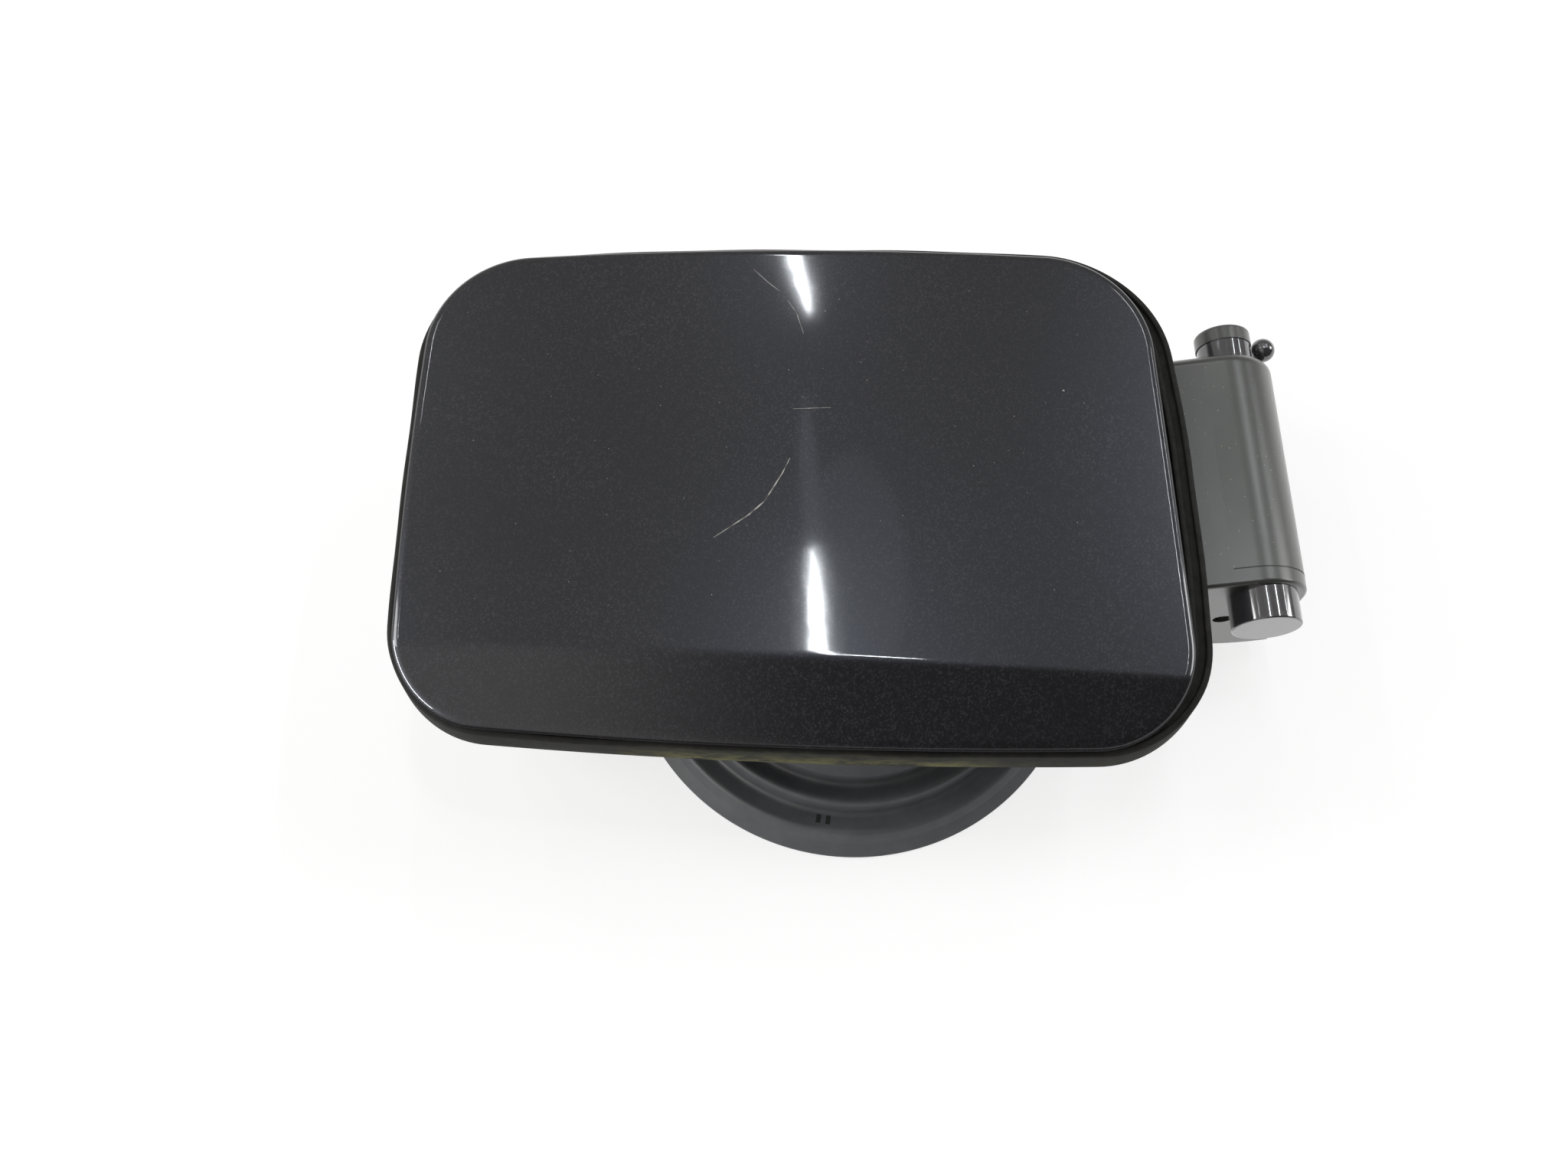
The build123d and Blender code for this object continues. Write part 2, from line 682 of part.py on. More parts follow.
# Hinge pin and the pieces that close its two ends
pin_low = box_y0 - lower_cap_l / 2
pin_high = box_y1 + neck_bush_l + end_cap_l / 2
with BuildPart() as pivot_pin:
    with BuildSketch(hinge_plane(pin_high)):
        Circle(pin_r)
    extrude(amount=pin_high - pin_low)
    chamfer(pivot_pin.edges(), pin_r / 6)
pivot_pin.part.label = "pivot_pin"
export_step(pivot_pin.part, "parts/pivot_pin.step")

with BuildPart() as lower_pivot_cap:
    with BuildSketch(hinge_plane(box_y0)):
        Circle(lower_cap_r)
    extrude(amount=lower_cap_l)
    fillet(lower_pivot_cap.edges().group_by(Axis.Y)[0], lower_cap_edge)
    with BuildSketch(hinge_plane(box_y0 + spigot_l)):
        Circle(spigot_r)
    extrude(amount=spigot_l)
    with BuildSketch(hinge_plane(cap_inner)):
        Circle(pin_r + pin_seat)
    extrude(amount=cap_inner - pin_low, mode=Mode.SUBTRACT)
lower_pivot_cap.part.label = "lower_pivot_cap"
export_step(lower_pivot_cap.part, "parts/lower_pivot_cap.step")

with BuildPart() as upper_pivot_bush:
    with BuildSketch(hinge_plane(box_y1 + neck_bush_l)):
        Circle(neck_bush_r)
    extrude(amount=neck_bush_l)
    with BuildSketch(hinge_plane(box_y1)):
        Circle(spigot_r)
    extrude(amount=wall_t)
    with BuildSketch(hinge_plane(box_y1 + neck_bush_l)):
        Circle(pin_r + pin_seat)
    extrude(amount=neck_bush_l + wall_t, mode=Mode.SUBTRACT)
upper_pivot_bush.part.label = "upper_pivot_bush"
export_step(upper_pivot_bush.part, "parts/upper_pivot_bush.step")

with BuildPart() as pin_cap:
    with BuildSketch(hinge_plane(box_y1 + neck_bush_l + end_cap_l)):
        Circle(end_cap_r)
    extrude(amount=end_cap_l)
    fillet(pin_cap.edges().group_by(Axis.Y)[-1], end_cap_edge)
    with BuildSketch(hinge_plane(pin_high)):
        Circle(pin_r + pin_seat)
    extrude(amount=pin_high - box_y1 - neck_bush_l, mode=Mode.SUBTRACT)
pin_cap.part.label = "pin_cap"
export_step(pin_cap.part, "parts/pin_cap.step")

# Return spring: coil on the pin, one leg on the arm's spoke and one on the peg
leg_turn = degrees(asin((coil_r - arm_t / 2 - wire_r - hole_play) / leg_l))
coil_start = spoke_angle + leg_turn - 90
coil_plane = Plane(
    (hinge_x, coil_y, hinge_z),
    x_dir=(cos(radians(coil_start)), 0, sin(radians(coil_start))),
    z_dir=(0, 1, 0),
)
with BuildLine() as coil_line:
    Helix(coil_pitch, coil_pitch * (coil_whole + coil_start / 360), coil_r)
coil = coil_line.edge().moved(coil_plane.location)
with BuildPart() as return_spring:
    with BuildSketch(Plane(coil @ 0, z_dir=coil % 0)):
        Circle(wire_r)
    sweep(path=coil)
    with BuildSketch(Plane(coil @ 0, z_dir=-(coil % 0))):
        Circle(wire_r)
    extrude(amount=leg_l)
    tip = coil @ 0 - (coil % 0) * leg_l
    with BuildSketch(Plane(tip, z_dir=(0, -1, 0))):
        Circle(wire_r)
    extrude(amount=coil_pitch * 3)
    with Locations(tip):
        Sphere(wire_r)
    with BuildSketch(Plane(coil @ 1, z_dir=coil % 1)):
        Circle(wire_r)
    extrude(amount=fixed_leg_l)
return_spring.part.label = "return_spring"
export_step(return_spring.part, "parts/return_spring.step")

# Ball-headed peg: straight through the box wall, then leaning out to its ball
peg_x = coil_r + wire_r + peg_r + pin_seat
peg_bend = Vector(hinge_x + peg_x, box_y1 + peg_out, hinge_z - peg_below)
ball = Vector(ball_x, ball_y, ball_z)
with BuildPart() as spring_peg:
    with BuildSketch(Plane(peg_bend, z_dir=(0, -1, 0))):
        Circle(peg_r)
    extrude(amount=peg_bend.Y - (coil @ 1).Y + 2 * wire_r)
    with BuildSketch(Plane(peg_bend, z_dir=ball - peg_bend)):
        Circle(peg_r)
    extrude(amount=(ball - peg_bend).length)
    with Locations(peg_bend):
        Sphere(peg_r)
    with Locations(ball):
        Sphere(ball_r)
spring_peg.part.label = "spring_peg"
export_step(spring_peg.part, "parts/spring_peg.step")

# Rubber guide of the lock pin, lipped over the boss on both sides
with BuildPart() as lock_grommet:
    with Locations(Plane((lock_x, flap_y, lock_z), z_dir=(-1, 0, 0))):
        Cylinder(grommet_r - pin_seat, boss_l)
        with Locations((0, 0, boss_l / 2)):
            Cylinder(grommet_r + grommet_lip, grommet_lip, align=(Align.CENTER, Align.CENTER, Align.MIN))
        with Locations((0, 0, -boss_l / 2 - grommet_lip / 4)):
            Cylinder(grommet_r + grommet_lip / 2, grommet_lip / 2)
        Cylinder(lock_bore_r, 3 * boss_l, mode=Mode.SUBTRACT)
lock_grommet.part.label = "lock_grommet"
export_step(lock_grommet.part, "parts/lock_grommet.step")

# Push-in buffers on the flange, a head for the flap's hem and a bulb under the flange
with BuildPart() as flap_buffers:
    with Locations([on_face(x, y, flange_top) for x, y in buffer_rows]):
        Cylinder(buffer_r, flange_top - hem_depth - pin_run, align=(Align.CENTER, Align.CENTER, Align.MIN))
        Cylinder(buffer_r / 2, flange_t, align=(Align.CENTER, Align.CENTER, Align.MAX))
    with Locations([on_face(x, y, flange_top + flange_t) for x, y in buffer_rows]):
        Cylinder(bulb_r, buffer_r, align=(Align.CENTER, Align.CENTER, Align.MAX))
flap_buffers.part.label = "flap_buffers"
export_step(flap_buffers.part, "parts/flap_buffers.step")

# Rubber boot: flat foot, conical skirt, two folds and a collar that snaps in the pot's floor
collar_z = floor_z - boot_t
foot_mid = (foot_r + foot_bore_r) / 2
skirt_lean = (foot_mid - skirt_r + boot_t / 2) / (skirt_h - 1.5 * boot_t)
skirt_out = foot_mid - skirt_lean * (foot_bore_h - boot_t) + boot_t / 2 * sqrt(1 + skirt_lean**2)
with BuildLine() as folds:
    FilletPolyline(
        (foot_mid, boot_t),
        (skirt_r - boot_t / 2, skirt_h - boot_t / 2),
        (fold_r + fold_in, skirt_h - boot_t),
        (fold_r, skirt_h - boot_t + fold_h),
        (fold_r - fold_pitch + fold_in, skirt_h - boot_t + fold_rise),
        (fold_r - fold_pitch, skirt_h - boot_t + fold_rise + fold_h),
        ((collar_r + fold_r - fold_pitch) / 2 - boot_t, collar_z + boot_t / 2),
        radius=boot_t / 2,
    )
with BuildPart() as filler_boot:
    with BuildSketch(Plane.XZ):
        trace(folds.line, line_width=boot_t)
        with BuildLine():
            Polyline(
                (foot_bore_r, 0),
                (foot_r, 0),
                (foot_r, boot_t / 2),
                (skirt_out, foot_bore_h),
                (foot_bore_r, foot_bore_h),
                close=True,
            )
        make_face()
        with BuildLine():
            Polyline(
                (neck_bore_r, collar_z),
                (collar_r, collar_z),
                (collar_r, floor_z),
                (hole_r - pin_seat, floor_z),
                (hole_r - pin_seat, floor_z + floor_t),
                (hole_r + lip_up, floor_z + floor_t),
                (hole_r, floor_z + floor_t + lip_up),
                (neck_bore_r, floor_z + floor_t + lip_up),
                close=True,
            )
        make_face()
    revolve(axis=Axis.Z)
filler_boot.part.label = "filler_boot"
export_step(filler_boot.part, "parts/filler_boot.step")
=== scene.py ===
import math

import bmesh
import bpy
import numpy as np
from mathutils import Matrix, Vector


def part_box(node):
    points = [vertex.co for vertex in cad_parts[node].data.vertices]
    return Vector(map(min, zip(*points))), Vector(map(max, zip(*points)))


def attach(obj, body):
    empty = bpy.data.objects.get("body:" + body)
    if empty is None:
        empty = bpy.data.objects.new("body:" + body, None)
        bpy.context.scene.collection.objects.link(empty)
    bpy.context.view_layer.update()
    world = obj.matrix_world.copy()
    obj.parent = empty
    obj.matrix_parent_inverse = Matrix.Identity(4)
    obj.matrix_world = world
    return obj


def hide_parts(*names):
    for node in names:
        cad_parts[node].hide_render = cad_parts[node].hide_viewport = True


bl_info = {
    "name": "Car Fuel Door",
    "version": (1, 0, 0),
    "blender": (4, 5, 0),
    "location": "View3D > Sidebar > Fuel Door",
    "description": "Dresses a car's fuel door: painted flap, edge seal, hinge box and rubber boot",
    "category": "Object",
}

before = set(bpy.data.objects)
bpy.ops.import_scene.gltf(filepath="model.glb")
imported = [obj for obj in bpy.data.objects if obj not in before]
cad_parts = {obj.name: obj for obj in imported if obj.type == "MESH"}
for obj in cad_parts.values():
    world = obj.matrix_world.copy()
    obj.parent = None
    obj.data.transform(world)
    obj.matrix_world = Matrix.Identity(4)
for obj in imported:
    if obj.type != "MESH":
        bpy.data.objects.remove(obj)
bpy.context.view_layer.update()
MM = 0.001


def colour(code):
    """Linear red, green and blue of an sRGB hex code."""
    parts = [int(code[i:i + 2], 16) / 255 for i in (1, 3, 5)]
    return tuple(p / 12.92 if p <= 0.04045 else ((p + 0.055) / 1.055) ** 2.4 for p in parts)


def middle(node):
    """Centre of a CAD node's box."""
    low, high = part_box(node)
    return (low + high) / 2


def length(name, about, *mm):
    """A length, or several lengths, given in millimetres."""
    if len(mm) == 1:
        return bpy.props.FloatProperty(name=name, description=about, default=mm[0] * MM, unit="LENGTH")
    return bpy.props.FloatVectorProperty(
        name=name, description=about, size=len(mm), default=tuple(v * MM for v in mm), unit="LENGTH")


def angle(name, about, degrees):
    """An angle given in degrees."""
    return bpy.props.FloatProperty(
        name=name, description=about, default=math.radians(degrees), subtype="ANGLE")


def tint(name, about, code):
    """A colour given as sRGB hex."""
    return bpy.props.FloatVectorProperty(name=name, description=about, default=colour(code), subtype="COLOR")


class FlapSizes(bpy.types.PropertyGroup):
    """Outline and face of the painted flap."""

    width: length("Width", "Across the flap at its middle", 171.1)
    height: length("Height", "Up the flap at its middle", 117.2)
    middle_y: length("Middle", "Height of the flap's middle along the pin", 15.6)
    pin_gap: length("Pin Gap", "From the hinge side's edge to the pin", 21.6)
    top_fall: angle("Top Fall", "Slope of the top edge", 2.9)
    bottom_fall: angle("Bottom Fall", "Slope of the bottom edge", 5.0)
    free_lean: length("Free Lean", "Half the lean of the free edge", 4.8)
    top_bulge: length("Top Bulge", "Bulge of the top edge", 1.0)
    free_bulge: length("Free Bulge", "Bulge of the free edge", 1.2)
    bottom_bulge: length("Bottom Bulge", "Bulge of the bottom edge", 3.9)
    corners: length(
        "Corner Radii", "Top hinge, top free, bottom free and bottom hinge corner", 25.0, 24.0, 21.0, 22.5)
    crown_along: length("Crown Along", "Radius of the crown across the flap", 800.0)
    crown_up: length("Crown Up", "Radius of the crown up the flap", 1200.0)
    crease_fall: angle("Crease Fall", "Slope of the swage line", 5.5)
    crease_below: length("Crease Below", "From the middle down to the swage line", 40.0)
    crease_soft: length("Crease Softness", "Half width of the swage line's bend", 1.0)
    lower_tilt: angle("Lower Tilt", "Lean of the face below the swage line", 16.0)
    shoulder_r: length("Shoulder Radius", "Radius where the face starts to fall to its edge", 3.5)
    shoulder_turn: angle("Shoulder Turn", "Lean of the face where the tight fold starts", 20.0)
    fold_r: length("Fold Radius", "Outer radius of the folded edge", 1.3)
    hem_depth: length("Hem Depth", "Thickness of the hemmed edge", 3.0)
    hem_in: length("Hem Width", "Width of the hem on the underside", 8.0)


class SealSizes(bpy.types.PropertyGroup):
    """Edge seal round the flap."""

    rim: length("Rim", "Out from the flap on the free, hinge, top and bottom side", 1.9, 3.2, 2.5, 0.8)
    bow: length("Bow", "Bulge of the hinge side, where the rubber bows over the hinge box", 2.9)
    soft: length("Corner Softness", "How much rounder the rubber takes a corner", 1.5)
    top: length("Top", "Depth of the lips under the face", 4.0)
    bottom: length("Bottom", "Depth of the lower edge under the face", 12.0)
    width: length("Width", "Across the profile", 4.6)
    lip: length("Lip", "Width of a lip", 1.4)
    groove: length("Groove", "Depth between the lips", 1.2)
    edge: length("Edge", "Rounding of the profile's corners", 0.7)
    wave: length("Wave", "How far the fitted rubber wanders", 0.35)


class BootSizes(bpy.types.PropertyGroup):
    """Rubber boot round the filler neck."""

    foot: length("Foot", "Outer radius, bore radius and bore height", 56.3, 52.0, 4.4)
    skirt: length("Skirt", "Radius and height of the skirt's top", 52.4, 7.4)
    fold: length("Folds", "Radius, pitch, draft, height and rise of the folds", 45.3, 6.2, 0.7, 6.2, 2.9)
    collar: length("Collar", "Radius of the collar, of the pot's hole and of the bore, and the lip",
                   36.0, 31.0, 25.5, 2.6)
    floor: length("Pot Floor", "Height and thickness of the pot's floor", 20.0, 2.4)
    sheet: length("Sheet", "Thickness of the rubber", 1.9)
    edges: length("Edges", "Rounding of the folds, of the foot and of the collar", 1.5, 0.35, 0.3)
    slits: bpy.props.FloatVectorProperty(
        name="Slits", description="Places of the two slits round the boot", size=2,
        default=(math.radians(256.6), math.radians(259.3)), unit="ROTATION")


class HingeSizes(bpy.types.PropertyGroup):
    """Roof and round of the hinge box, in section about the pin."""

    side: length("Side", "From the pin to the flat side", 10.9)
    back: length("Back", "From the pin to the low end of the roof", 31.0)
    roof_low: length("Roof Low", "Height of the roof's low end over the pin", 4.2)
    roof_slope: angle("Roof Slope", "Rise of the roof to the round", 9.9)
    roof_round: length("Roof Round", "Radius between the roof and the side", 12.2)
    end_round: length("End Round", "Radius round the upper end", 3.0)
    ends: length("Ends", "Places of the lower and the upper end along the pin", -4.3, 50.2)
    cover: length("Cover", "Start of the cover on the roof, its reach down the side and its sheet",
                  -8.0, 6.0, 1.2)
    # The seam is a thin dark strip, painted shade of the gap by the end cap
    seam: length("Seam", "Half width, height and depth of the seam by the end cap", 0.13, 0.04, 0.3)


class StageSettings(bpy.types.PropertyGroup):
    """Camera, floor and lamps."""

    elevation: angle("Elevation", "Camera above the horizon", 70.2)
    yaw: angle("Yaw", "Camera round the object", -3.6)
    roll: angle("Roll", "Camera about its own axis", 0.6)
    distance: length("Distance", "Camera to its target", 387.0)
    target: length("Target", "Point the camera looks at", -17.2, -0.7, 40.0)
    lens: bpy.props.FloatProperty(
        name="Lens", description="Focal length in millimetres on a 36 mm sensor", default=36 * 2200 / 2048)
    lamp_height: bpy.props.FloatProperty(
        name="Lamp Height", description="Strip lamps above the floor", default=1.6, unit="LENGTH")
    lamp_width: bpy.props.FloatProperty(
        name="Lamp Width", description="Width of a strip lamp over its height",
        default=0.012, subtype="FACTOR")
    lamp_power: bpy.props.FloatProperty(
        name="Lamp Power", description="Power of a strip lamp for each square metre", default=270.0)
    box_power: bpy.props.FloatProperty(
        name="Soft Box Power", description="Power of one soft box", default=10.0, unit="POWER")
    window_power: bpy.props.FloatProperty(
        name="Window Power", description="Power of the low window on the left", default=60.0, unit="POWER")
    floor_tone: bpy.props.FloatProperty(
        name="Floor Tone", description="How much of the floor's white takes shadow",
        default=0.3, subtype="FACTOR")
    floor_glow: bpy.props.FloatProperty(
        name="Floor Glow", description="How much of the floor's white is its own",
        default=0.77, subtype="FACTOR")


class FinishColours(bpy.types.PropertyGroup):
    """Colours of the finishes."""

    paint: tint("Paint", "Basecoat of the flap", "#191819")
    flake: tint("Flake", "Aluminium flakes in the basecoat", "#57545a")
    plastic: tint("Plastic", "Grained plastic of the pot", "#31332e")
    gloss: tint("Gloss Plastic", "Caps on the pin", "#37373a")
    seal: tint("Seal", "Rubber of the edge seal", "#2a2a28")
    boot: tint("Boot", "Rubber of the boot", "#5c5f63")
    # Also the colour of the painted floor reflection on the seal's lower wall
    dust: tint("Dust", "Dried road dust", "#74734f")
    zinc: tint("Zinc", "Zinc plating", "#b9bab8")
    nylon: tint("Nylon", "Glass-filled nylon of the arm", "#232324")
    primer: tint("Primer", "Dip primer of the inner panel", "#2c2d2f")
    bare: tint("Bare", "Scratched clear coat and chips", "#b5b2ab")
    # Painted shade: the dark in the boot's slits and in the end cap's seam
    gap_shade: tint("Slit", "Dark of the boot's slits and of the end cap's seam", "#2b2c2d")
    speck: tint("Speck", "Palest specks of dust", "#e6e2d6")


def add(tree, kind, links=None, **settings):
    """Adds a node with its settings; links maps an input to a value or to another node's output."""
    made = tree.nodes.new(kind)
    for key, value in settings.items():
        setattr(made, key, value)
    for socket, value in (links or {}).items():
        if isinstance(value, bpy.types.NodeSocket):
            tree.links.new(value, made.inputs[socket])
        else:
            made.inputs[socket].default_value = value
    return made


def new_material(name, **sockets):
    """A material with one Principled shader; sockets sets the shader's plain values."""
    material = bpy.data.materials.new(name)
    material.use_nodes = True
    tree = material.node_tree
    shader = tree.nodes["Principled BSDF"]
    for key, value in sockets.items():
        shader.inputs[key.replace("_", " ")].default_value = value
    return material, tree, shader


def put(name, mesh, body, material, replaces=()):
    """Makes an object of a mesh, gives it its material and lets it ride on a CAD body."""
    mesh.materials.clear()
    mesh.materials.append(material)
    obj = bpy.data.objects.new(name, mesh)
    bpy.context.scene.collection.objects.link(obj)
    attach(obj, body)
    if replaces:
        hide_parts(*replaces)
    return obj


def settings():
    """The scene's flap sizes, finishes and stage settings."""
    scene = bpy.context.scene
    return scene.fuel_flap, scene.fuel_finish, scene.fuel_stage


def rounded(points, radius, steps=6):
    """A closed outline with its corners rounded."""
    done = []
    pts = [np.array(p, float) for p in points]
    for i, p in enumerate(pts):
        to_a, to_b = pts[i - 1] - p, pts[(i + 1) % len(pts)] - p
        la, lb = np.linalg.norm(to_a), np.linalg.norm(to_b)
        to_a, to_b = to_a / la, to_b / lb
        half = math.acos(max(-1, min(1, to_a @ to_b))) / 2
        if half > math.radians(88):
            done.append(p)
            continue
        cut = min(radius / math.tan(half), 0.45 * la, 0.45 * lb)
        a, b = p + to_a * cut, p + to_b * cut
        for k in range(steps + 1):
            t = k / steps
            done.append(a * (1 - t) ** 2 + p * 2 * t * (1 - t) + b * t * t)
    return done


def offset_line(points, distance):
    """An open line moved to its right by a distance, with mitred corners."""
    pts = [np.array(p, float) for p in points]
    moved = []
    for i, p in enumerate(pts):
        ways = []
        if i > 0:
            ways.append(p - pts[i - 1])
        if i < len(pts) - 1:
            ways.append(pts[i + 1] - p)
        sides = [np.array([w[1], -w[0]]) / np.linalg.norm(w) for w in ways]
        side = sum(sides)
        side /= np.linalg.norm(side)
        moved.append(p + side * distance / max(side @ sides[0], 0.3))
    return moved


def islands(node):
    """Corner points of each separate solid of a CAD node, in the frame."""
    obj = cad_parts[node]
    bm = bmesh.new()
    bm.from_mesh(obj.data)
    bmesh.ops.remove_doubles(bm, verts=bm.verts, dist=1e-6)
    left = set(bm.verts)
    groups = []
    while left:
        stack, group = [left.pop()], []
        while stack:
            v = stack.pop()
            group.append(obj.matrix_world @ v.co)
            for e in v.link_edges:
                w = e.other_vert(v)
                if w in left:
                    left.remove(w)
                    stack.append(w)
        groups.append(np.array(group))
    bm.free()
    return groups


def bake(name, mesh, tree, inputs):
    """Runs a Geometry Nodes tree on a mesh and returns the plain result."""
    carrier = bpy.data.objects.new(name + "_carrier", mesh)
    bpy.context.scene.collection.objects.link(carrier)
    modifier = carrier.modifiers.new("tree", "NODES")
    modifier.node_group = tree
    for item in tree.interface.items_tree:
        if item.in_out == "INPUT" and item.name in inputs:
            modifier[item.identifier] = inputs[item.name]
    graph = bpy.context.evaluated_depsgraph_get()
    result = bpy.data.meshes.new_from_object(carrier.evaluated_get(graph))
    result.name = name
    carrier.modifiers.remove(modifier)
    bpy.data.objects.remove(carrier)
    return result


def new_tree(name, sockets):
    """A Geometry Nodes tree with a geometry input and output and other named inputs."""
    tree = bpy.data.node_groups.new(name, "GeometryNodeTree")
    tree.interface.new_socket("Geometry", in_out="INPUT", socket_type="NodeSocketGeometry")
    for label, kind in sockets:
        tree.interface.new_socket(label, in_out="INPUT", socket_type=kind)
    tree.interface.new_socket("Geometry", in_out="OUTPUT", socket_type="NodeSocketGeometry")
    return tree, add(tree, "NodeGroupInput")


# Outline and face of the flap, worked out from the sizes


def circle_through(a, b, c):
    """Centre and radius of the circle through three points."""
    m = np.array([b - a, c - a]) * 2
    right = np.array([b @ b - a @ a, c @ c - a @ a])
    centre = np.linalg.solve(m, right)
    return centre, np.linalg.norm(a - centre)


def meet(c0, r0, c1, r1, near):
    """The point where two circles meet, nearest to a point."""
    d = np.linalg.norm(c1 - c0)
    along = (r0 * r0 - r1 * r1 + d * d) / (2 * d)
    off = math.sqrt(max(r0 * r0 - along * along, 0))
    t = (c1 - c0) / d
    foot = c0 + t * along
    side = np.array([-t[1], t[0]])
    return min((foot + side * off, foot - side * off), key=lambda p: np.linalg.norm(p - near))


class FlapRule:
    """The flap's outline with its sides moved out, and the height of its crowned face."""

    side_steps = (44, 72, 44, 72)
    corner_steps = 26

    def __init__(self, sizes):
        self.s = sizes
        self.edge_x = middle("pivot_pin").x - sizes.pin_gap
        self.mid = np.array([self.edge_x - sizes.width / 2, sizes.middle_y])
        self.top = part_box("flap_skin")[1].z
        a = sizes.crease_fall
        self.across = np.array([math.cos(a), -math.sin(a)])
        self.upward = np.array([math.sin(a), math.cos(a)])

    def outline(self, free, hinge, top, bottom, bow=1e-7, soft=0.0):
        """Points round the outline and their outward directions, from the lower hinge corner."""
        s = self.s
        right = self.edge_x + hinge
        left_top = self.edge_x - s.width + s.free_bulge + s.free_lean - free
        left_bottom = self.edge_x - s.width + s.free_bulge - s.free_lean - free
        top_y = s.middle_y + s.height / 2 + top
        bottom_y = s.middle_y - s.height / 2 + s.bottom_bulge - bottom
        fall, low_fall = math.tan(s.top_fall), math.tan(s.bottom_fall)
        sharp = [np.array([x, y]) for x, y in (
            (right, bottom_y - low_fall * (right - self.mid[0])),
            (right, top_y - fall * (right - self.mid[0])),
            (left_top, top_y - fall * (left_top - self.mid[0])),
            (left_bottom, bottom_y - low_fall * (left_bottom - self.mid[0])),
        )]
        bulges = [(bow, 0), (0, s.top_bulge), (-s.free_bulge, 0), (0, -s.bottom_bulge)]
        radii = [
            s.corners[3] + (bottom + hinge) / 2 + soft,
            s.corners[0] + (top + hinge) / 2 + soft,
            s.corners[1] + (top + free) / 2 + soft,
            s.corners[2] + (bottom + free) / 2 + soft,
        ]
        sides = []
        for i in range(4):
            a, b = sharp[i], sharp[(i + 1) % 4]
            sides.append(circle_through(a, (a + b) / 2 + np.array(bulges[i]), b))
        hubs = []
        for i in range(4):
            (c0, r0), (c1, r1) = sides[i - 1], sides[i]
            hubs.append(meet(c0, r0 - radii[i], c1, r1 - radii[i], sharp[i]))
        points, normals = [], []

        def arc(centre, radius, start, end, steps):
            a0 = math.atan2(*(start - centre)[::-1])
            a1 = math.atan2(*(end - centre)[::-1])
            if a1 < a0:
                a1 += 2 * math.pi
            for k in range(steps):
                turn = a0 + (a1 - a0) * k / steps
                out = np.array([math.cos(turn), math.sin(turn)])
                points.append(centre + out * radius)
                normals.append(out)

        def touch(side, hub):
            centre, radius = sides[side]
            return centre + (hub - centre) / np.linalg.norm(hub - centre) * radius

        for i in range(4):
            start, end = touch(i, hubs[i]), touch(i, hubs[(i + 1) % 4])
            arc(*sides[i], start, end, self.side_steps[i])
            j = (i + 1) % 4
            arc(hubs[j], radii[j], end, touch(j, hubs[j]), self.corner_steps)
        return np.array(points), np.array(normals)

    def even(self, grow):
        """The flap's own outline moved out evenly."""
        return self.outline(grow, grow, grow, grow)

    def drop(self, v, u):
        """How far the face falls away above and below the flap's middle."""
        s = self.s
        crease = -s.crease_below
        soft = s.crease_soft * np.clip(1.6 - u / 0.07, 1.0, 3.0)
        sag = s.crown_up - np.sqrt(s.crown_up**2 - v**2)
        steep = math.tan(s.lower_tilt)
        slope = s.crease_below / math.sqrt(s.crown_up**2 - crease**2)
        flat = s.crown_up - math.sqrt(s.crown_up**2 - crease**2) + steep * (crease - v)
        w = np.clip(crease + soft - v, 0, 2 * soft)
        bend = sag + (steep - slope) / (4 * soft) * w * w
        return np.where(v < crease - soft, flat, bend)

    def height(self, x, y, depth=0.0):
        """Height of the face, or of a layer at a depth under it."""
        px, py = x - self.mid[0], y - self.mid[1]
        u = px * self.across[0] + py * self.across[1]
        v = px * self.upward[0] + py * self.upward[1]
        radius = self.s.crown_along - depth - self.drop(v, u)
        return self.top - self.s.crown_along + np.sqrt(radius**2 - u**2)

    def square(self, x, y, depth=0.0):
        """Direction square to the face."""
        h = 0.02 * MM
        dx = (self.height(x + h, y, depth) - self.height(x - h, y, depth)) / (2 * h)
        dy = (self.height(x, y + h, depth) - self.height(x, y - h, depth)) / (2 * h)
        out = np.stack([-dx, -dy, np.ones_like(dx)], -1)
        return out / np.linalg.norm(out, axis=-1, keepdims=True)


class HingeRule:
    """Section of the hinge box's top: a sloping roof and one large round, about the pin."""

    def __init__(self, sizes):
        self.s = sizes
        self.pin = middle("pivot_pin")
        slope, r = sizes.roof_slope, sizes.roof_round
        self.hub_x = sizes.side - r
        self.hub_z = self.roof(self.hub_x) - r / math.cos(slope)
        self.start = self.hub_x - r * math.sin(slope)

    def roof(self, x):
        """Height of the sloping roof over the pin."""
        return self.s.roof_low + math.tan(self.s.roof_slope) * (x + self.s.back)

    def height(self, x, y):
        """Height of the box's top in the frame."""
        across = x - self.pin.x
        bent = self.hub_z + np.sqrt(np.maximum(self.s.roof_round**2 - (across - self.hub_x) ** 2, 0))
        return self.pin.z + np.where(across < self.start, self.roof(across), bent)

    def section(self, roof_x, side_down, steps=30):
        """Points and outward directions from a place on the roof, over the round and down the side."""
        slope, r = self.s.roof_slope, self.s.roof_round
        turns = np.linspace(-slope, math.pi / 2, steps)
        out = np.stack([np.sin(turns), np.cos(turns)], -1)
        points = np.array([self.hub_x, self.hub_z]) + r * out
        points = np.vstack([[roof_x, self.roof(roof_x)], points, [self.s.side, self.hub_z - side_down]])
        return points + np.array([self.pin.x, self.pin.z]), np.vstack([out[:1], out, out[-1:]])


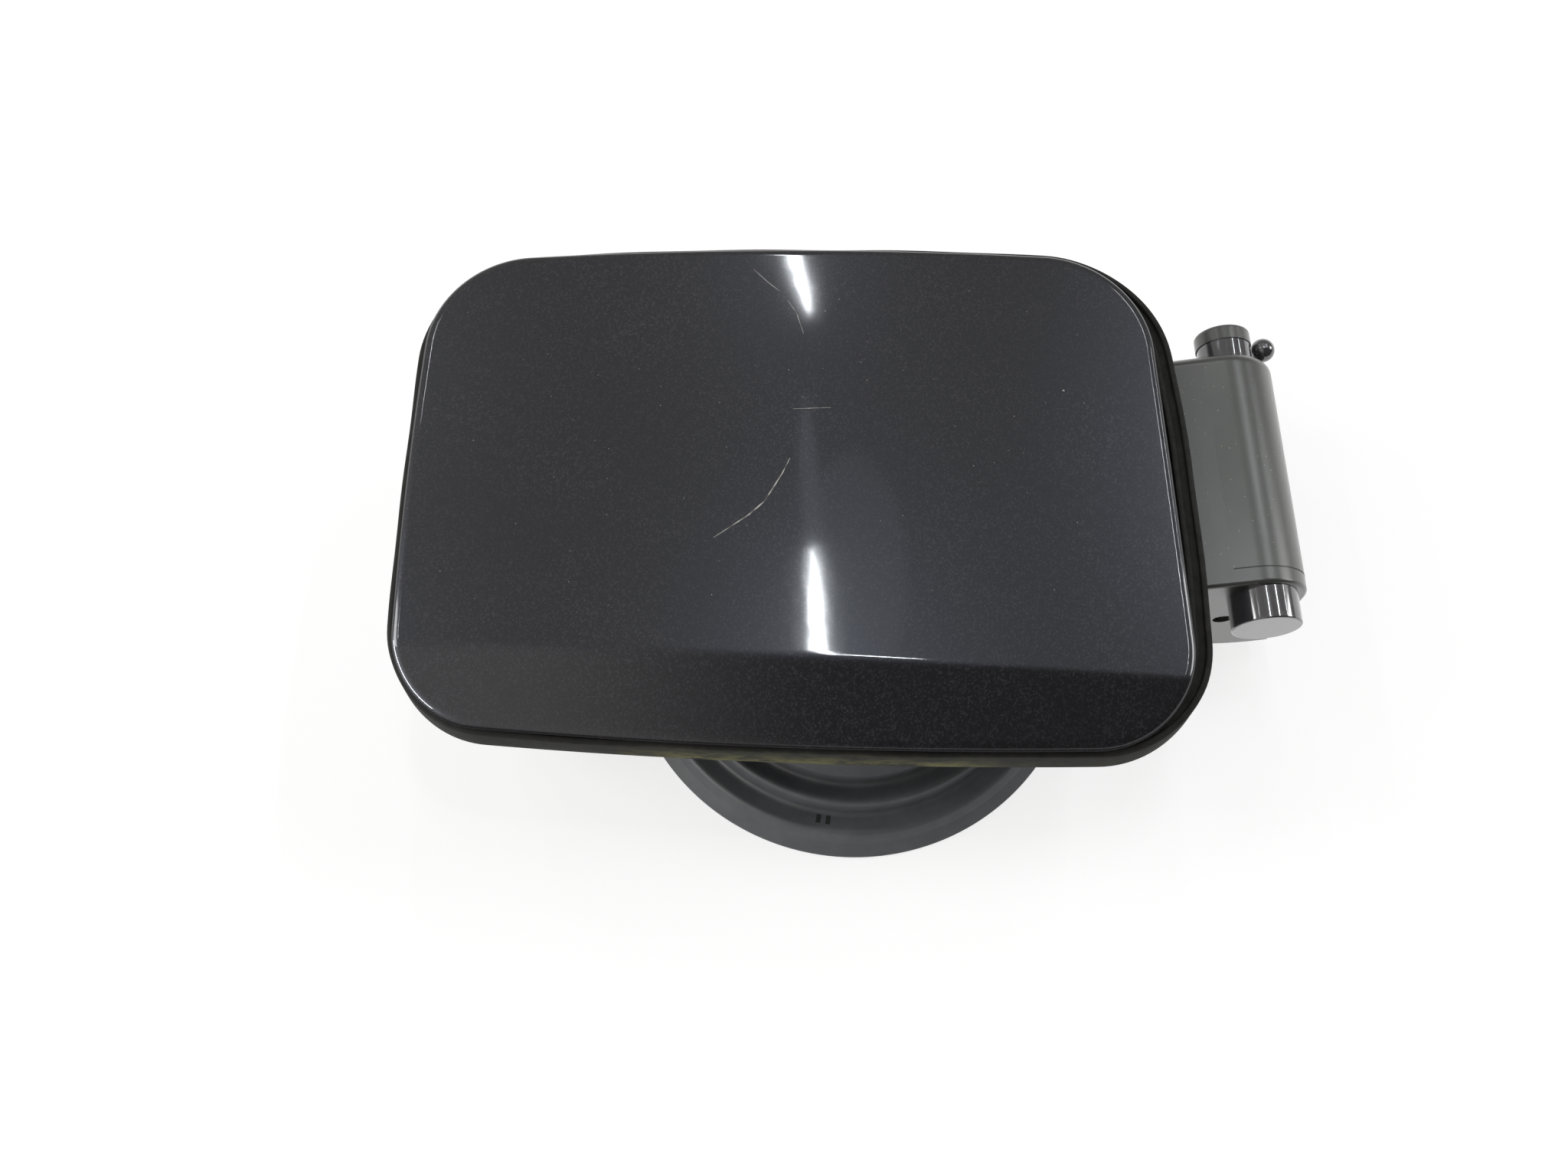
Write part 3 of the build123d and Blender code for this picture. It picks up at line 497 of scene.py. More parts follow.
def closed_rings(rings, cap_start=False, cap_end=False, loop=False):
    """A mesh of quads between rings of points with equal counts."""
    n = len(rings[0])
    verts = np.concatenate(rings)
    faces = []
    count = len(rings)
    for k in range(count if loop else count - 1):
        a, b = k * n, ((k + 1) % count) * n
        for i in range(n):
            j = (i + 1) % n
            faces.append((a + i, a + j, b + j, b + i))
    if cap_start:
        faces.append(tuple(range(n))[::-1])
    if cap_end:
        faces.append(tuple((count - 1) * n + i for i in range(n)))
    return verts, faces


def make_mesh(name, verts, faces, smooth_angle=None):
    """A mesh with outward faces, shaded smooth up to an angle."""
    mesh = bpy.data.meshes.new(name)
    mesh.from_pydata([tuple(v) for v in verts], [], faces)
    bm = bmesh.new()
    bm.from_mesh(mesh)
    bmesh.ops.remove_doubles(bm, verts=bm.verts, dist=1e-7)
    bmesh.ops.recalc_face_normals(bm, faces=bm.faces)
    for f in bm.faces:
        f.smooth = True
    if smooth_angle is not None:
        for e in bm.edges:
            if len(e.link_faces) == 2 and e.calc_face_angle(0) > smooth_angle:
                e.smooth = False
    bm.to_mesh(mesh)
    bm.free()
    return mesh


def lathe(name, profile, centre, axis, steps=96, smooth_angle=math.radians(35)):
    """A turned mesh: profile is a closed loop of radius and place along the axis."""
    axis = Vector(axis).normalized()
    first = axis.orthogonal().normalized()
    second = axis.cross(first)
    rings = []
    for radius, along in profile:
        ring = []
        for k in range(steps):
            t = 2 * math.pi * k / steps
            ring.append(Vector(centre) + axis * along + (first * math.cos(t) + second * math.sin(t)) * radius)
        rings.append(np.array(ring))
    verts, faces = closed_rings(rings, loop=True)
    return make_mesh(name, verts, faces, smooth_angle)


# Materials


def noise(tree, place, crest, detail, **more):
    """A noise texture with its size from crest to crest in millimetres."""
    return add(tree, "ShaderNodeTexNoise", {
        "Vector": place, "Scale": 1 / (crest * MM), "Detail": detail, **more})


def ramp(tree, value, low, high, start, end):
    """Takes a value from low to high over to start to end."""
    return add(tree, "ShaderNodeMapRange", {
        "Value": value, "From Min": low, "From Max": high, "To Min": start, "To Max": end}).outputs["Result"]


def mix(tree, factor, first, second, blend="MIX"):
    """Mixes two colours; a plain colour has three parts."""
    first, second = ((*c, 1) if not isinstance(c, bpy.types.NodeSocket) else c for c in (first, second))
    return add(tree, "ShaderNodeMix", {"Factor": factor, 6: first, 7: second}, data_type="RGBA",
               blend_type=blend).outputs[2]


def product(tree, first, second):
    """One value times another."""
    return add(tree, "ShaderNodeMath", {0: first, 1: second}, operation="MULTIPLY").outputs["Value"]


def bump(tree, shader, height, strength, deep, socket="Normal"):
    """Gives a shader's normal a relief with a depth in millimetres."""
    relief = add(tree, "ShaderNodeBump", {"Height": height, "Strength": strength, "Distance": deep * MM})
    tree.links.new(relief.outputs["Normal"], shader.inputs[socket])


def mottled(tree, shader, base, texture, start, end):
    """A base colour that a noise makes darker and lighter."""
    tone = mix(tree, 1.0, base, ramp(tree, texture.outputs["Fac"], 0.3, 0.7, start, end), "MULTIPLY")
    tree.links.new(tone, shader.inputs["Base Color"])
    return tone


def coordinates(tree):
    """The object's own coordinates."""
    return add(tree, "ShaderNodeTexCoord").outputs["Object"]


def metallic_paint(finish):
    """Basecoat with aluminium flakes under clear coat: dark body, fine sparkle, sharp reflections."""
    material, tree, shader = new_material(
        "clear_coated_metallic_paint", Coat_Roughness=0.06, Coat_IOR=1.5,
        Specular_Tint=(0.7, 0.77, 0.95, 1.0))
    place = coordinates(tree)
    # Flakes are about 0.03 mm; drawn at 0.35 mm so that they show
    flakes = add(tree, "ShaderNodeTexVoronoi", {"Vector": place, "Scale": 1 / (0.35 * MM)})
    sparkle = ramp(tree, flakes.outputs["Color"], 0.55, 1.0, 0.0, 0.5)
    cloud = noise(tree, place, 30, 2.0)
    body = mix(tree, product(tree, sparkle, cloud.outputs["Fac"]), finish.paint, finish.flake)
    tree.links.new(body, shader.inputs["Base Color"])
    # Orange peel of sprayed clear coat, about 4 mm from crest to crest
    peel = noise(tree, place, 4, 1.0, Roughness=0.4)
    bump(tree, shader, peel.outputs["Fac"], 0.03, 0.2, "Coat Normal")
    bump(tree, shader, flakes.outputs["Color"], 0.05, 0.1)
    # The rolled edge is dulled by dirt, as polishing never reaches it
    edge = add(tree, "ShaderNodeAttribute", attribute_name="deep")
    for socket, face, rim in (
        ("Coat Weight", 1.0, 0.0),
        ("Roughness", 0.32, 0.6),
        ("Specular IOR Level", 0.28, 0.06),
    ):
        dull = ramp(tree, edge.outputs["Fac"], 0.4 * MM, 0.75 * MM, face, rim)
        tree.links.new(dull, shader.inputs[socket])
    return material


def grained_plastic(finish):
    """Moulded polypropylene with a spark-eroded grain: soft sheen broken by fine grain, a few dust specks."""
    material, tree, shader = new_material(
        "grained_polypropylene", Roughness=0.4, Coat_Weight=1.0, Coat_IOR=1.5, Coat_Roughness=0.3)
    place = coordinates(tree)
    grain = noise(tree, place, 0.35, 3.0, Roughness=0.6)
    bump(tree, shader, grain.outputs["Fac"], 0.2, 0.05)
    tone = mottled(tree, shader, finish.plastic, noise(tree, place, 9, 5.0), 0.82, 1.12)
    specks = add(tree, "ShaderNodeTexVoronoi", {"Vector": place, "Scale": 1 / (2.6 * MM)})
    fleck = ramp(tree, specks.outputs["Distance"], 0.05, 0.08, 0.8, 0.0)
    tree.links.new(mix(tree, fleck, tone, finish.dust), shader.inputs["Base Color"])
    return material


def gloss_plastic(finish):
    """Moulded acetal from a polished tool: deep black with clear highlights and faint rubbing."""
    material, tree, shader = new_material(
        "polished_acetal", Coat_Weight=1.0, Coat_IOR=1.8, Coat_Roughness=0.05)
    shader.inputs["Base Color"].default_value = (*finish.gloss, 1)
    rub = noise(tree, coordinates(tree), 1.5, 4.0)
    tree.links.new(ramp(tree, rub.outputs["Fac"], 0.3, 0.75, 0.1, 0.26), shader.inputs["Roughness"])
    return material


def seal_rubber(finish):
    """Extruded rubber with road dust and a painted reflection of the white floor on its lower wall."""
    material, tree, shader = new_material("extruded_seal_rubber", Roughness=0.75, Specular_IOR_Level=0.15)
    place = coordinates(tree)
    mottle = noise(tree, place, 2.5, 5.0, Roughness=0.65)
    body = mottled(tree, shader, finish.seal, mottle, 0.7, 1.3)
    # Road dust and a painted reflection of the white floor lie on the wall that faces down the car, between
    # two places along it, most on the lower ledge
    apart = add(tree, "ShaderNodeSeparateXYZ", {"Vector": place})
    facing = add(tree, "ShaderNodeNewGeometry")
    turned = add(tree, "ShaderNodeSeparateXYZ", {"Vector": facing.outputs["Normal"]})
    deep = add(tree, "ShaderNodeAttribute", attribute_name="deep")
    long = add(tree, "ShaderNodeMapping", {"Vector": place, "Scale": (0.4, 1.0, 1.0)})
    patch = noise(tree, long.outputs["Vector"], 3.2, 5.0, Roughness=0.7)
    dust = ramp(tree, turned.outputs["Y"], -0.35, -0.75, 0.0, 1.0)
    for share in (
        ramp(tree, apart.outputs["X"], -58 * MM, -44 * MM, 0.1, 1.0),
        ramp(tree, apart.outputs["X"], 18 * MM, 28 * MM, 1.0, 0.15),
        ramp(tree, deep.outputs["Fac"], 5.5 * MM, 10.5 * MM, 0.15, 1.0),
        ramp(tree, patch.outputs["Fac"], 0.42, 0.58, 0.06, 1.0),
    ):
        dust = product(tree, dust, share)
    # The olive colour mixed in here is road dust and painted reflection together
    tree.links.new(mix(tree, dust, body, finish.dust), shader.inputs["Base Color"])
    bump(tree, shader, mottle.outputs["Fac"], 0.25, 0.1)
    return material


def boot_rubber(shade):
    """Moulded rubber, matt and slightly bloomed, paler where it is handled."""
    material, tree, shader = new_material("moulded_boot_rubber", Roughness=0.55, Specular_IOR_Level=0.4)
    place = coordinates(tree)
    mottled(tree, shader, shade, noise(tree, place, 6, 6.0, Roughness=0.6), 0.88, 1.12)
    bump(tree, shader, noise(tree, place, 0.5, 2.0).outputs["Fac"], 0.2, 0.05)
    return material


def zinc_steel(finish):
    """Zinc plated steel: bright but cloudy grey metal."""
    material, tree, shader = new_material("zinc_plated_steel", Metallic=1.0, Roughness=0.38)
    mottled(tree, shader, finish.zinc, noise(tree, coordinates(tree), 1.2, 4.0), 0.7, 1.05)
    return material


def nylon(finish):
    """Moulded glass-filled nylon: satin black with a faint fibre mottle."""
    material, tree, shader = new_material("glass_filled_nylon", Roughness=0.45)
    fibre = noise(tree, coordinates(tree), 0.8, 4.0)
    mottled(tree, shader, finish.nylon, fibre, 0.8, 1.2)
    bump(tree, shader, fibre.outputs["Fac"], 0.15, 0.05)
    return material


def dip_primer(finish):
    """Dip primer with a thin coat of paint: even satin grey with slight runs."""
    material, tree, shader = new_material("dip_primed_steel", Roughness=0.4)
    place = coordinates(tree)
    mottled(tree, shader, finish.primer, noise(tree, place, 14, 4.0), 0.85, 1.15)
    bump(tree, shader, noise(tree, place, 2, 1.0).outputs["Fac"], 0.1, 0.1)
    return material


def scratched_coat(finish):
    """Clear coat broken white by a scratch or a stone: pale, dull and uneven along its length."""
    material, tree, shader = new_material("scratched_clear_coat", Roughness=0.6)
    broken = noise(tree, coordinates(tree), 2.2, 3.0)
    body = mix(tree, ramp(tree, broken.outputs["Fac"], 0.36, 0.6, 0.12, 1.0), finish.paint, finish.bare)
    tree.links.new(body, shader.inputs["Base Color"])
    return material


def road_dust(finish):
    """Loose road dust: matt pale specks, each of its own tone."""
    material, tree, shader = new_material("road_dust", Roughness=0.9, Specular_IOR_Level=0.1)
    each = noise(tree, coordinates(tree), 3, 0.0)
    tree.links.new(mix(tree, each.outputs["Fac"], finish.dust, finish.speck), shader.inputs["Base Color"])
    return material


def finish_node(name, material):
    """Gives a CAD node that stays in view its finish."""
    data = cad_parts[name].data
    data.materials.clear()
    data.materials.append(material)


class PaintedFlap(bpy.types.Operator):
    """Builds the crowned painted skin with its rolled and hemmed edge"""

    bl_idname = "fuel_door.painted_flap"
    bl_label = "Painted Flap"

    # Rings of the face: inside the outline in millimetres, then as shares of the way from the middle
    face_rings = (2.6, 3.2, 4.0, 5.0, 6.2, 7.8, 9.8, 12.5)
    hub_rings = (0.93, 0.85, 0.76, 0.66, 0.55, 0.44, 0.33, 0.22, 0.12, 0.04)
    # Cuts beside the swage line, in millimetres, so that its bend has faces of its own
    crease_cuts = (-3.0, -2.2, -1.5, -1.0, -0.6, -0.25, 0.0, 0.25, 0.6, 1.0, 1.5, 2.2, 3.0)

    def execute(self, context):
        sizes, finish, _ = settings()
        rule = FlapRule(sizes)
        wide, tight, lean = sizes.shoulder_r, sizes.fold_r, sizes.shoulder_turn
        fold_in = tight * (1 - math.sin(lean))
        fold_deep = wide * (1 - math.cos(lean))
        rows = []
        for turn in np.linspace(0, lean, 9):
            inset = fold_in + wide * (math.sin(lean) - math.sin(turn))
            rows.append((inset, wide * (1 - math.cos(turn)), turn))
        for turn in np.linspace(lean, math.pi / 2, 10)[1:]:
            depth = fold_deep + tight * (math.cos(lean) - math.cos(turn))
            rows.append((tight * (1 - math.sin(turn)), depth, turn))
        side_deep = rows[-1][1]
        under = sizes.hem_depth - side_deep
        for turn in np.linspace(0, math.pi / 2, 8)[1:]:
            depth = side_deep + under * math.sin(turn)
            rows.append((under * (1 - math.cos(turn)), depth, math.pi / 2 + turn))
        rows.append((sizes.hem_in, sizes.hem_depth, math.pi))
        rings = [(*rule.even(-inset), depth, turn) for inset, depth, turn in rows[::-1]]
        for inset in self.face_rings:
            rings.append((*rule.even(-inset * MM), 0.0, 0.0))
        inner, inner_n = rings[-1][:2]
        for share in self.hub_rings:
            rings.append((rule.mid + (inner - rule.mid) * share, inner_n, 0.0, 0.0))
        bm = bmesh.new()
        deep = bm.verts.layers.float.new("deep")
        tilt = bm.verts.layers.float.new("tilt")
        out_x = bm.verts.layers.float.new("out_x")
        out_y = bm.verts.layers.float.new("out_y")
        grid = []
        for points, normals, depth, turn in rings:
            row = []
            for p, n in zip(points, normals):
                v = bm.verts.new((p[0], p[1], 0))
                v[deep], v[tilt], v[out_x], v[out_y] = depth, turn, n[0], n[1]
                row.append(v)
            grid.append(row)
        count = len(grid[0])
        for a, b in zip(grid, grid[1:]):
            for i in range(count):
                j = (i + 1) % count
                bm.faces.new((a[i], a[j], b[j], b[i]))
        hub = bm.verts.new((rule.mid[0], rule.mid[1], 0))
        for i in range(count):
            bm.faces.new((grid[-1][i], grid[-1][(i + 1) % count], hub))
        crease = rule.mid - rule.upward * sizes.crease_below
        for step in self.crease_cuts:
            at = crease + rule.upward * step * MM
            bmesh.ops.bisect_plane(
                bm, geom=bm.verts[:] + bm.edges[:] + bm.faces[:], plane_co=(at[0], at[1], 0),
                plane_no=(rule.upward[0], rule.upward[1], 0))
        flat = np.array([v.co for v in bm.verts])
        values = np.array([(v[deep], v[tilt], v[out_x], v[out_y]) for v in bm.verts])
        flat[:, 2] = rule.height(flat[:, 0], flat[:, 1], values[:, 0])
        face = rule.square(flat[:, 0], flat[:, 1], values[:, 0])
        side = np.stack([values[:, 2], values[:, 3], np.zeros(len(flat))], -1)
        normals = face * np.cos(values[:, 1])[:, None] + side * np.sin(values[:, 1])[:, None]
        normals /= np.linalg.norm(normals, axis=1, keepdims=True)
        for v, p in zip(bm.verts, flat):
            v.co = p
        for f in bm.faces:
            f.smooth = True
        mesh = bpy.data.meshes.new("painted_skin")
        bm.to_mesh(mesh)
        bm.free()
        mesh.normals_split_custom_set_from_vertices([tuple(n) for n in normals])
        put("painted_skin", mesh, "flap", metallic_paint(finish), ["flap_skin"])
        return {"FINISHED"}


class PaintMarks(bpy.types.Operator):
    """Lays the scratch, the hairlines, a short pale level line and the stone chips on the paint"""

    bl_idname = "fuel_door.paint_marks"
    bl_label = "Paint Marks"

    # Width and path of each line, place and size of each chip, all in millimetres
    lines = (
        (0.42, ((-14.8, 21.1), (-16.7, 17.5), (-18.8, 14.3), (-21.0, 11.0), (-24.5, 8.1), (-28.5, 5.6),
                (-32.4, 3.2))),
        (0.16, ((-20.5, 69.6), (-17.6, 66.2), (-14.9, 63.5))),
        (0.14, ((-13.2, 61.0), (-11.4, 57.7), (-10.0, 52.0))),
        # A short pale level line in the colour of the scratch
        (0.18, ((-13.6, 33.1), (-5.0, 33.0))),
    )
    # Shares of the width or of the radius, and heights over the paint in millimetres
    line_section = ((-0.5, -0.03), (-0.3, 0.012), (0.3, 0.012), (0.5, -0.03))
    chip_section = ((1.0, -0.03), (0.8, 0.012), (0.3, 0.014))
    chips = (
        (47.9, 35.7, 0.55), (-92.2, -0.2, 0.5), (-16.2, 8.6, 0.22), (30.4, 18.2, 0.2), (-60.5, 41.0, 0.18))

    def execute(self, context):
        sizes, finish, _ = settings()
        rule = FlapRule(sizes)
        verts, faces = [], []

        def sink(rings):
            more, quads = closed_rings(rings, cap_start=True, cap_end=True)
            base = len(verts)
            verts.extend(more)
            faces.extend(tuple(i + base for i in f) for f in quads)

        for width, marks in self.lines:
            line = np.array(marks) * MM
            fine = np.linspace(0, len(line) - 1, 12 * len(line))
            path = np.stack([np.interp(fine, range(len(line)), line[:, k]) for k in (0, 1)], -1)
            way = np.gradient(path, axis=0)
            way /= np.linalg.norm(way, axis=1, keepdims=True)
            side = np.stack([-way[:, 1], way[:, 0]], -1)
            taper = np.sin(np.linspace(0.12, math.pi - 0.12, len(path))) ** 0.5
            rings = []
            for p, w, t in zip(path, side, taper):
                ring = []
                for across, lift in self.line_section:
                    x, y = p + w * across * width * t * MM
                    ring.append((x, y, rule.height(x, y) + lift * MM))
                rings.append(np.array(ring))
            sink(rings)
        for x, y, size in self.chips:
            rings = []
            for share, lift in self.chip_section:
                ring = []
                for k in range(10):
                    t = 2 * math.pi * k / 10
                    r = size / 2 * share * (1 + 0.25 * math.sin(3 * t + x))
                    px, py = (x + r * math.cos(t)) * MM, (y + r * math.sin(t)) * MM
                    ring.append((px, py, rule.height(px, py) + lift * MM))
                rings.append(np.array(ring))
            sink(rings)
        put("paint_marks", make_mesh("paint_marks", verts, faces), "flap", scratched_coat(finish))
        return {"FINISHED"}


class RimSeal(bpy.types.Operator):
    """Builds the edge seal: a rubber profile with two lips, fitted by hand and so not quite even"""

    bl_idname = "fuel_door.rim_seal"
    bl_label = "Rim Seal"

    def execute(self, context):
        sizes, finish, _ = settings()
        seal = context.scene.fuel_seal
        rule = FlapRule(sizes)
        w, lip, top, low, groove = seal.width, seal.lip, seal.top, seal.bottom, seal.groove
        section = rounded([(0, top), (0, low), (w, low), (w, top), (w - lip, top), (w - lip, top + groove),
                           (lip, top + groove), (lip, top)], seal.edge)
        rings = []
        for inset, depth in section:
            points, normals = rule.outline(*[side - inset for side in seal.rim], seal.bow, seal.soft)
            count = len(points)
            t = np.arange(count) / count * 2 * math.pi
            # Slow swells with a quicker ripple, fading out towards the lower edge
            slow = np.sin(5 * t + 0.6) * np.sin(3 * t) + 0.5 * np.sin(17 * t + 1.0)
            share = np.clip((low - depth) / (low - top), 0, 1)
            points = points - normals * (seal.wave * (0.75 + 0.5 * slow) * share)[:, None]
            z = rule.height(points[:, 0], points[:, 1], depth)
            rings.append(np.column_stack([points, z]))
        verts, faces = closed_rings(rings, loop=True)
        mesh = make_mesh("edge_seal", verts, faces, math.radians(50))
        deep = mesh.attributes.new("deep", "FLOAT", "POINT")
        for v, value in zip(mesh.vertices, deep.data):
            value.value = rule.height(v.co.x, v.co.y) - v.co.z
        put("edge_seal", mesh, "housing", seal_rubber(finish), ["rim_seal"])
        return {"FINISHED"}


class RubberBoot(bpy.types.Operator):
    """Turns the rubber boot: foot, skirt, two folds and the collar that snaps in the pot's floor"""

    bl_idname = "fuel_door.rubber_boot"
    bl_label = "Rubber Boot"

    # Each of the slits is a thin dark sheet set in the skirt, painted shade of its hollow: its ends, as
    # shares of the way up the skirt's top, and its section in millimetres
    slit_reach = (0.25, 0.92)
    slit_section = ((-0.6, -0.4), (0.6, -0.4), (0.55, 0.06), (-0.55, 0.06))

    def execute(self, context):
        _, finish, _ = settings()
        boot = context.scene.fuel_boot
        foot_r, bore_r, bore_h = boot.foot
        skirt_r, skirt_h = boot.skirt
        fold_r, pitch, draft, fold_h, rise = boot.fold
        collar_r, hole_r, neck_r, lip = boot.collar
        floor_z, floor_t = boot.floor
        floor_top = floor_z + floor_t
        t = boot.sheet
        fold_edge, foot_edge, collar_edge = boot.edges
        line = [
            ((foot_r + bore_r) / 2, t),
            (skirt_r - t / 2, skirt_h - t / 2),
            (fold_r + draft, skirt_h - t),
            (fold_r, skirt_h - t + fold_h),
            (fold_r - pitch + draft, skirt_h - t + rise),
            (fold_r - pitch, skirt_h - t + rise + fold_h),
            ((collar_r + fold_r - pitch) / 2 - t, floor_z - t / 2),
        ]
        lean = (line[0][0] - line[1][0]) / (line[1][1] - line[0][1])
        shoulder = line[0][0] - lean * (bore_h - t) + t / 2 * math.sqrt(1 + lean * lean)
        shells = [
            rounded(offset_line(line, t / 2) + offset_line(line, -t / 2)[::-1], fold_edge),
            rounded([
                (bore_r, 0), (foot_r, 0), (foot_r, t / 2), (shoulder, bore_h), (bore_r, bore_h)], foot_edge),
            rounded([
                (neck_r, floor_z - t), (collar_r, floor_z - t), (collar_r, floor_z), (hole_r, floor_z),
                (hole_r, floor_top), (hole_r + lip, floor_top), (hole_r, floor_top + lip),
                (neck_r, floor_top + lip)], collar_edge),
        ]
        meshes = [lathe("boot_shell", shell, (0, 0, 0), (0, 0, 1), 192) for shell in shells]
        bm = bmesh.new()
        for mesh in meshes:
            bm.from_mesh(mesh)
            bpy.data.meshes.remove(mesh)
        whole = bpy.data.meshes.new("rubber_boot")
        bm.to_mesh(whole)
        bm.free()
        put("rubber_boot", whole, "housing", boot_rubber(finish.boot), ["filler_boot"])
        (r1, z1), (r0, z0) = line[1], line[2]
        verts, faces = [], []
        for turn in boot.slits:
            rings = []
            for share in self.slit_reach:
                r, z = r1 + (r0 - r1) * share, z1 + (z0 - z1) * share + t / 2
                rings.append(np.array([
                    (r * math.cos(turn + side * MM / r), r * math.sin(turn + side * MM / r), z + lift * MM)
                    for side, lift in self.slit_section]))
            more, quads = closed_rings(rings, cap_start=True, cap_end=True)
            faces += [tuple(i + len(verts) for i in f) for f in quads]
            verts += list(more)
        # Painted shade of the slits' hollows, drawn as dark sheets
        slit_shade = make_mesh("boot_slits", verts, faces, math.radians(35))
        put("boot_slits", slit_shade, "housing", boot_rubber(finish.gap_shade))
        return {"FINISHED"}


class Fasteners(bpy.types.Operator):
    """Sets socket screws and domed rivets where the CAD's plain ones are"""

    bl_idname = "fuel_door.fasteners"
    bl_label = "Fasteners"

    def execute(self, context):
        sizes, finish, _ = settings()
        rule = FlapRule(sizes)
        steel = zinc_steel(finish)
        tree, group = new_tree("fasteners_on_points", (
            ("Fastener", "NodeSocketObject"), ("Material", "NodeSocketMaterial")))
        source = add(tree, "GeometryNodeObjectInfo", {"Object": group.outputs["Fastener"]})
        way = add(tree, "GeometryNodeInputNamedAttribute", {"Name": "way"}, data_type="FLOAT_VECTOR")
        turn = add(tree, "FunctionNodeAlignRotationToVector", {"Vector": way.outputs["Attribute"]}, axis="Z")
        laid = add(tree, "GeometryNodeInstanceOnPoints", {
            "Points": group.outputs["Geometry"], "Instance": source.outputs["Geometry"],
            "Rotation": turn.outputs["Rotation"]})
        real = add(tree, "GeometryNodeRealizeInstances", {"Geometry": laid.outputs["Instances"]})
        finished = add(tree, "GeometryNodeSetMaterial", {
            "Geometry": real.outputs["Geometry"], "Material": group.outputs["Material"]})
        add(tree, "NodeGroupOutput", {"Geometry": finished.outputs["Geometry"]})

        def ring(radius, z, hexagon=False, steps=48):
            turns = 2 * math.pi * np.arange(steps) / steps
            r = radius / np.cos((turns + math.pi / 6) % (math.pi / 3) - math.pi / 6) if hexagon else radius
            return np.column_stack([r * np.cos(turns), r * np.sin(turns), np.full(steps, z)]) * MM

        # Turned profiles from the shank to the middle of the head, as radius and height in millimetres
        shank = ((2.5, -7.0), (2.5, 0.0), (4.3, 0.0), (4.5, 0.2), (4.5, 1.9), (4.35, 2.35), (3.9, 2.6))
        socket = ((2.2, 2.6), (2.1, 2.5), (2.1, 1.1))
        screw = [*(ring(*p) for p in shank), *(ring(*p, True) for p in socket), ring(0.6, 0.8)]
        rivet = [ring(*p) for p in (
            (2.4, -4.82), (2.4, -3.02), (1.6, -3.02), (1.6, 0.0), (3.0, 0.0), (2.9, 0.3), (2.4, 0.66),
            (1.6, 0.86), (1.0, 0.9), (0.9, 0.8), (0.9, 0.45))]
        for node, name, rings, head in (
            ("arm_screws", "socket_screws", screw, 2.6),
            ("blind_rivets", "pop_rivets", rivet, 0.9),
        ):
            verts, faces = closed_rings(rings, cap_start=True, cap_end=True)
            one = make_mesh(name + "_one", verts, faces, math.radians(35))
            part = bpy.data.objects.new(name + "_one", one)
            context.scene.collection.objects.link(part)
            places, ways = [], []
            for points in islands(node):
                x, y = points[:, :2].min(0) / 2 + points[:, :2].max(0) / 2
                out = -rule.square(np.array([x]), np.array([y]), 6 * MM)[0]
                along = points @ out
                middle_point = points[along > along.max() - 0.1 * MM].mean(0)
                places.append(tuple(middle_point - out * head * MM))
                ways.append(out)
            carrier = bpy.data.meshes.new(name + "_points")
            carrier.from_pydata(places, [], [])
            layer = carrier.attributes.new("way", "FLOAT_VECTOR", "POINT")
            layer.data.foreach_set("vector", np.array(ways, dtype=np.float32).ravel())
            mesh = bake(name, carrier, tree, {"Fastener": part, "Material": steel})
            bpy.data.objects.remove(part)
            put(name, mesh, "flap", steel, [node])
        return {"FINISHED"}


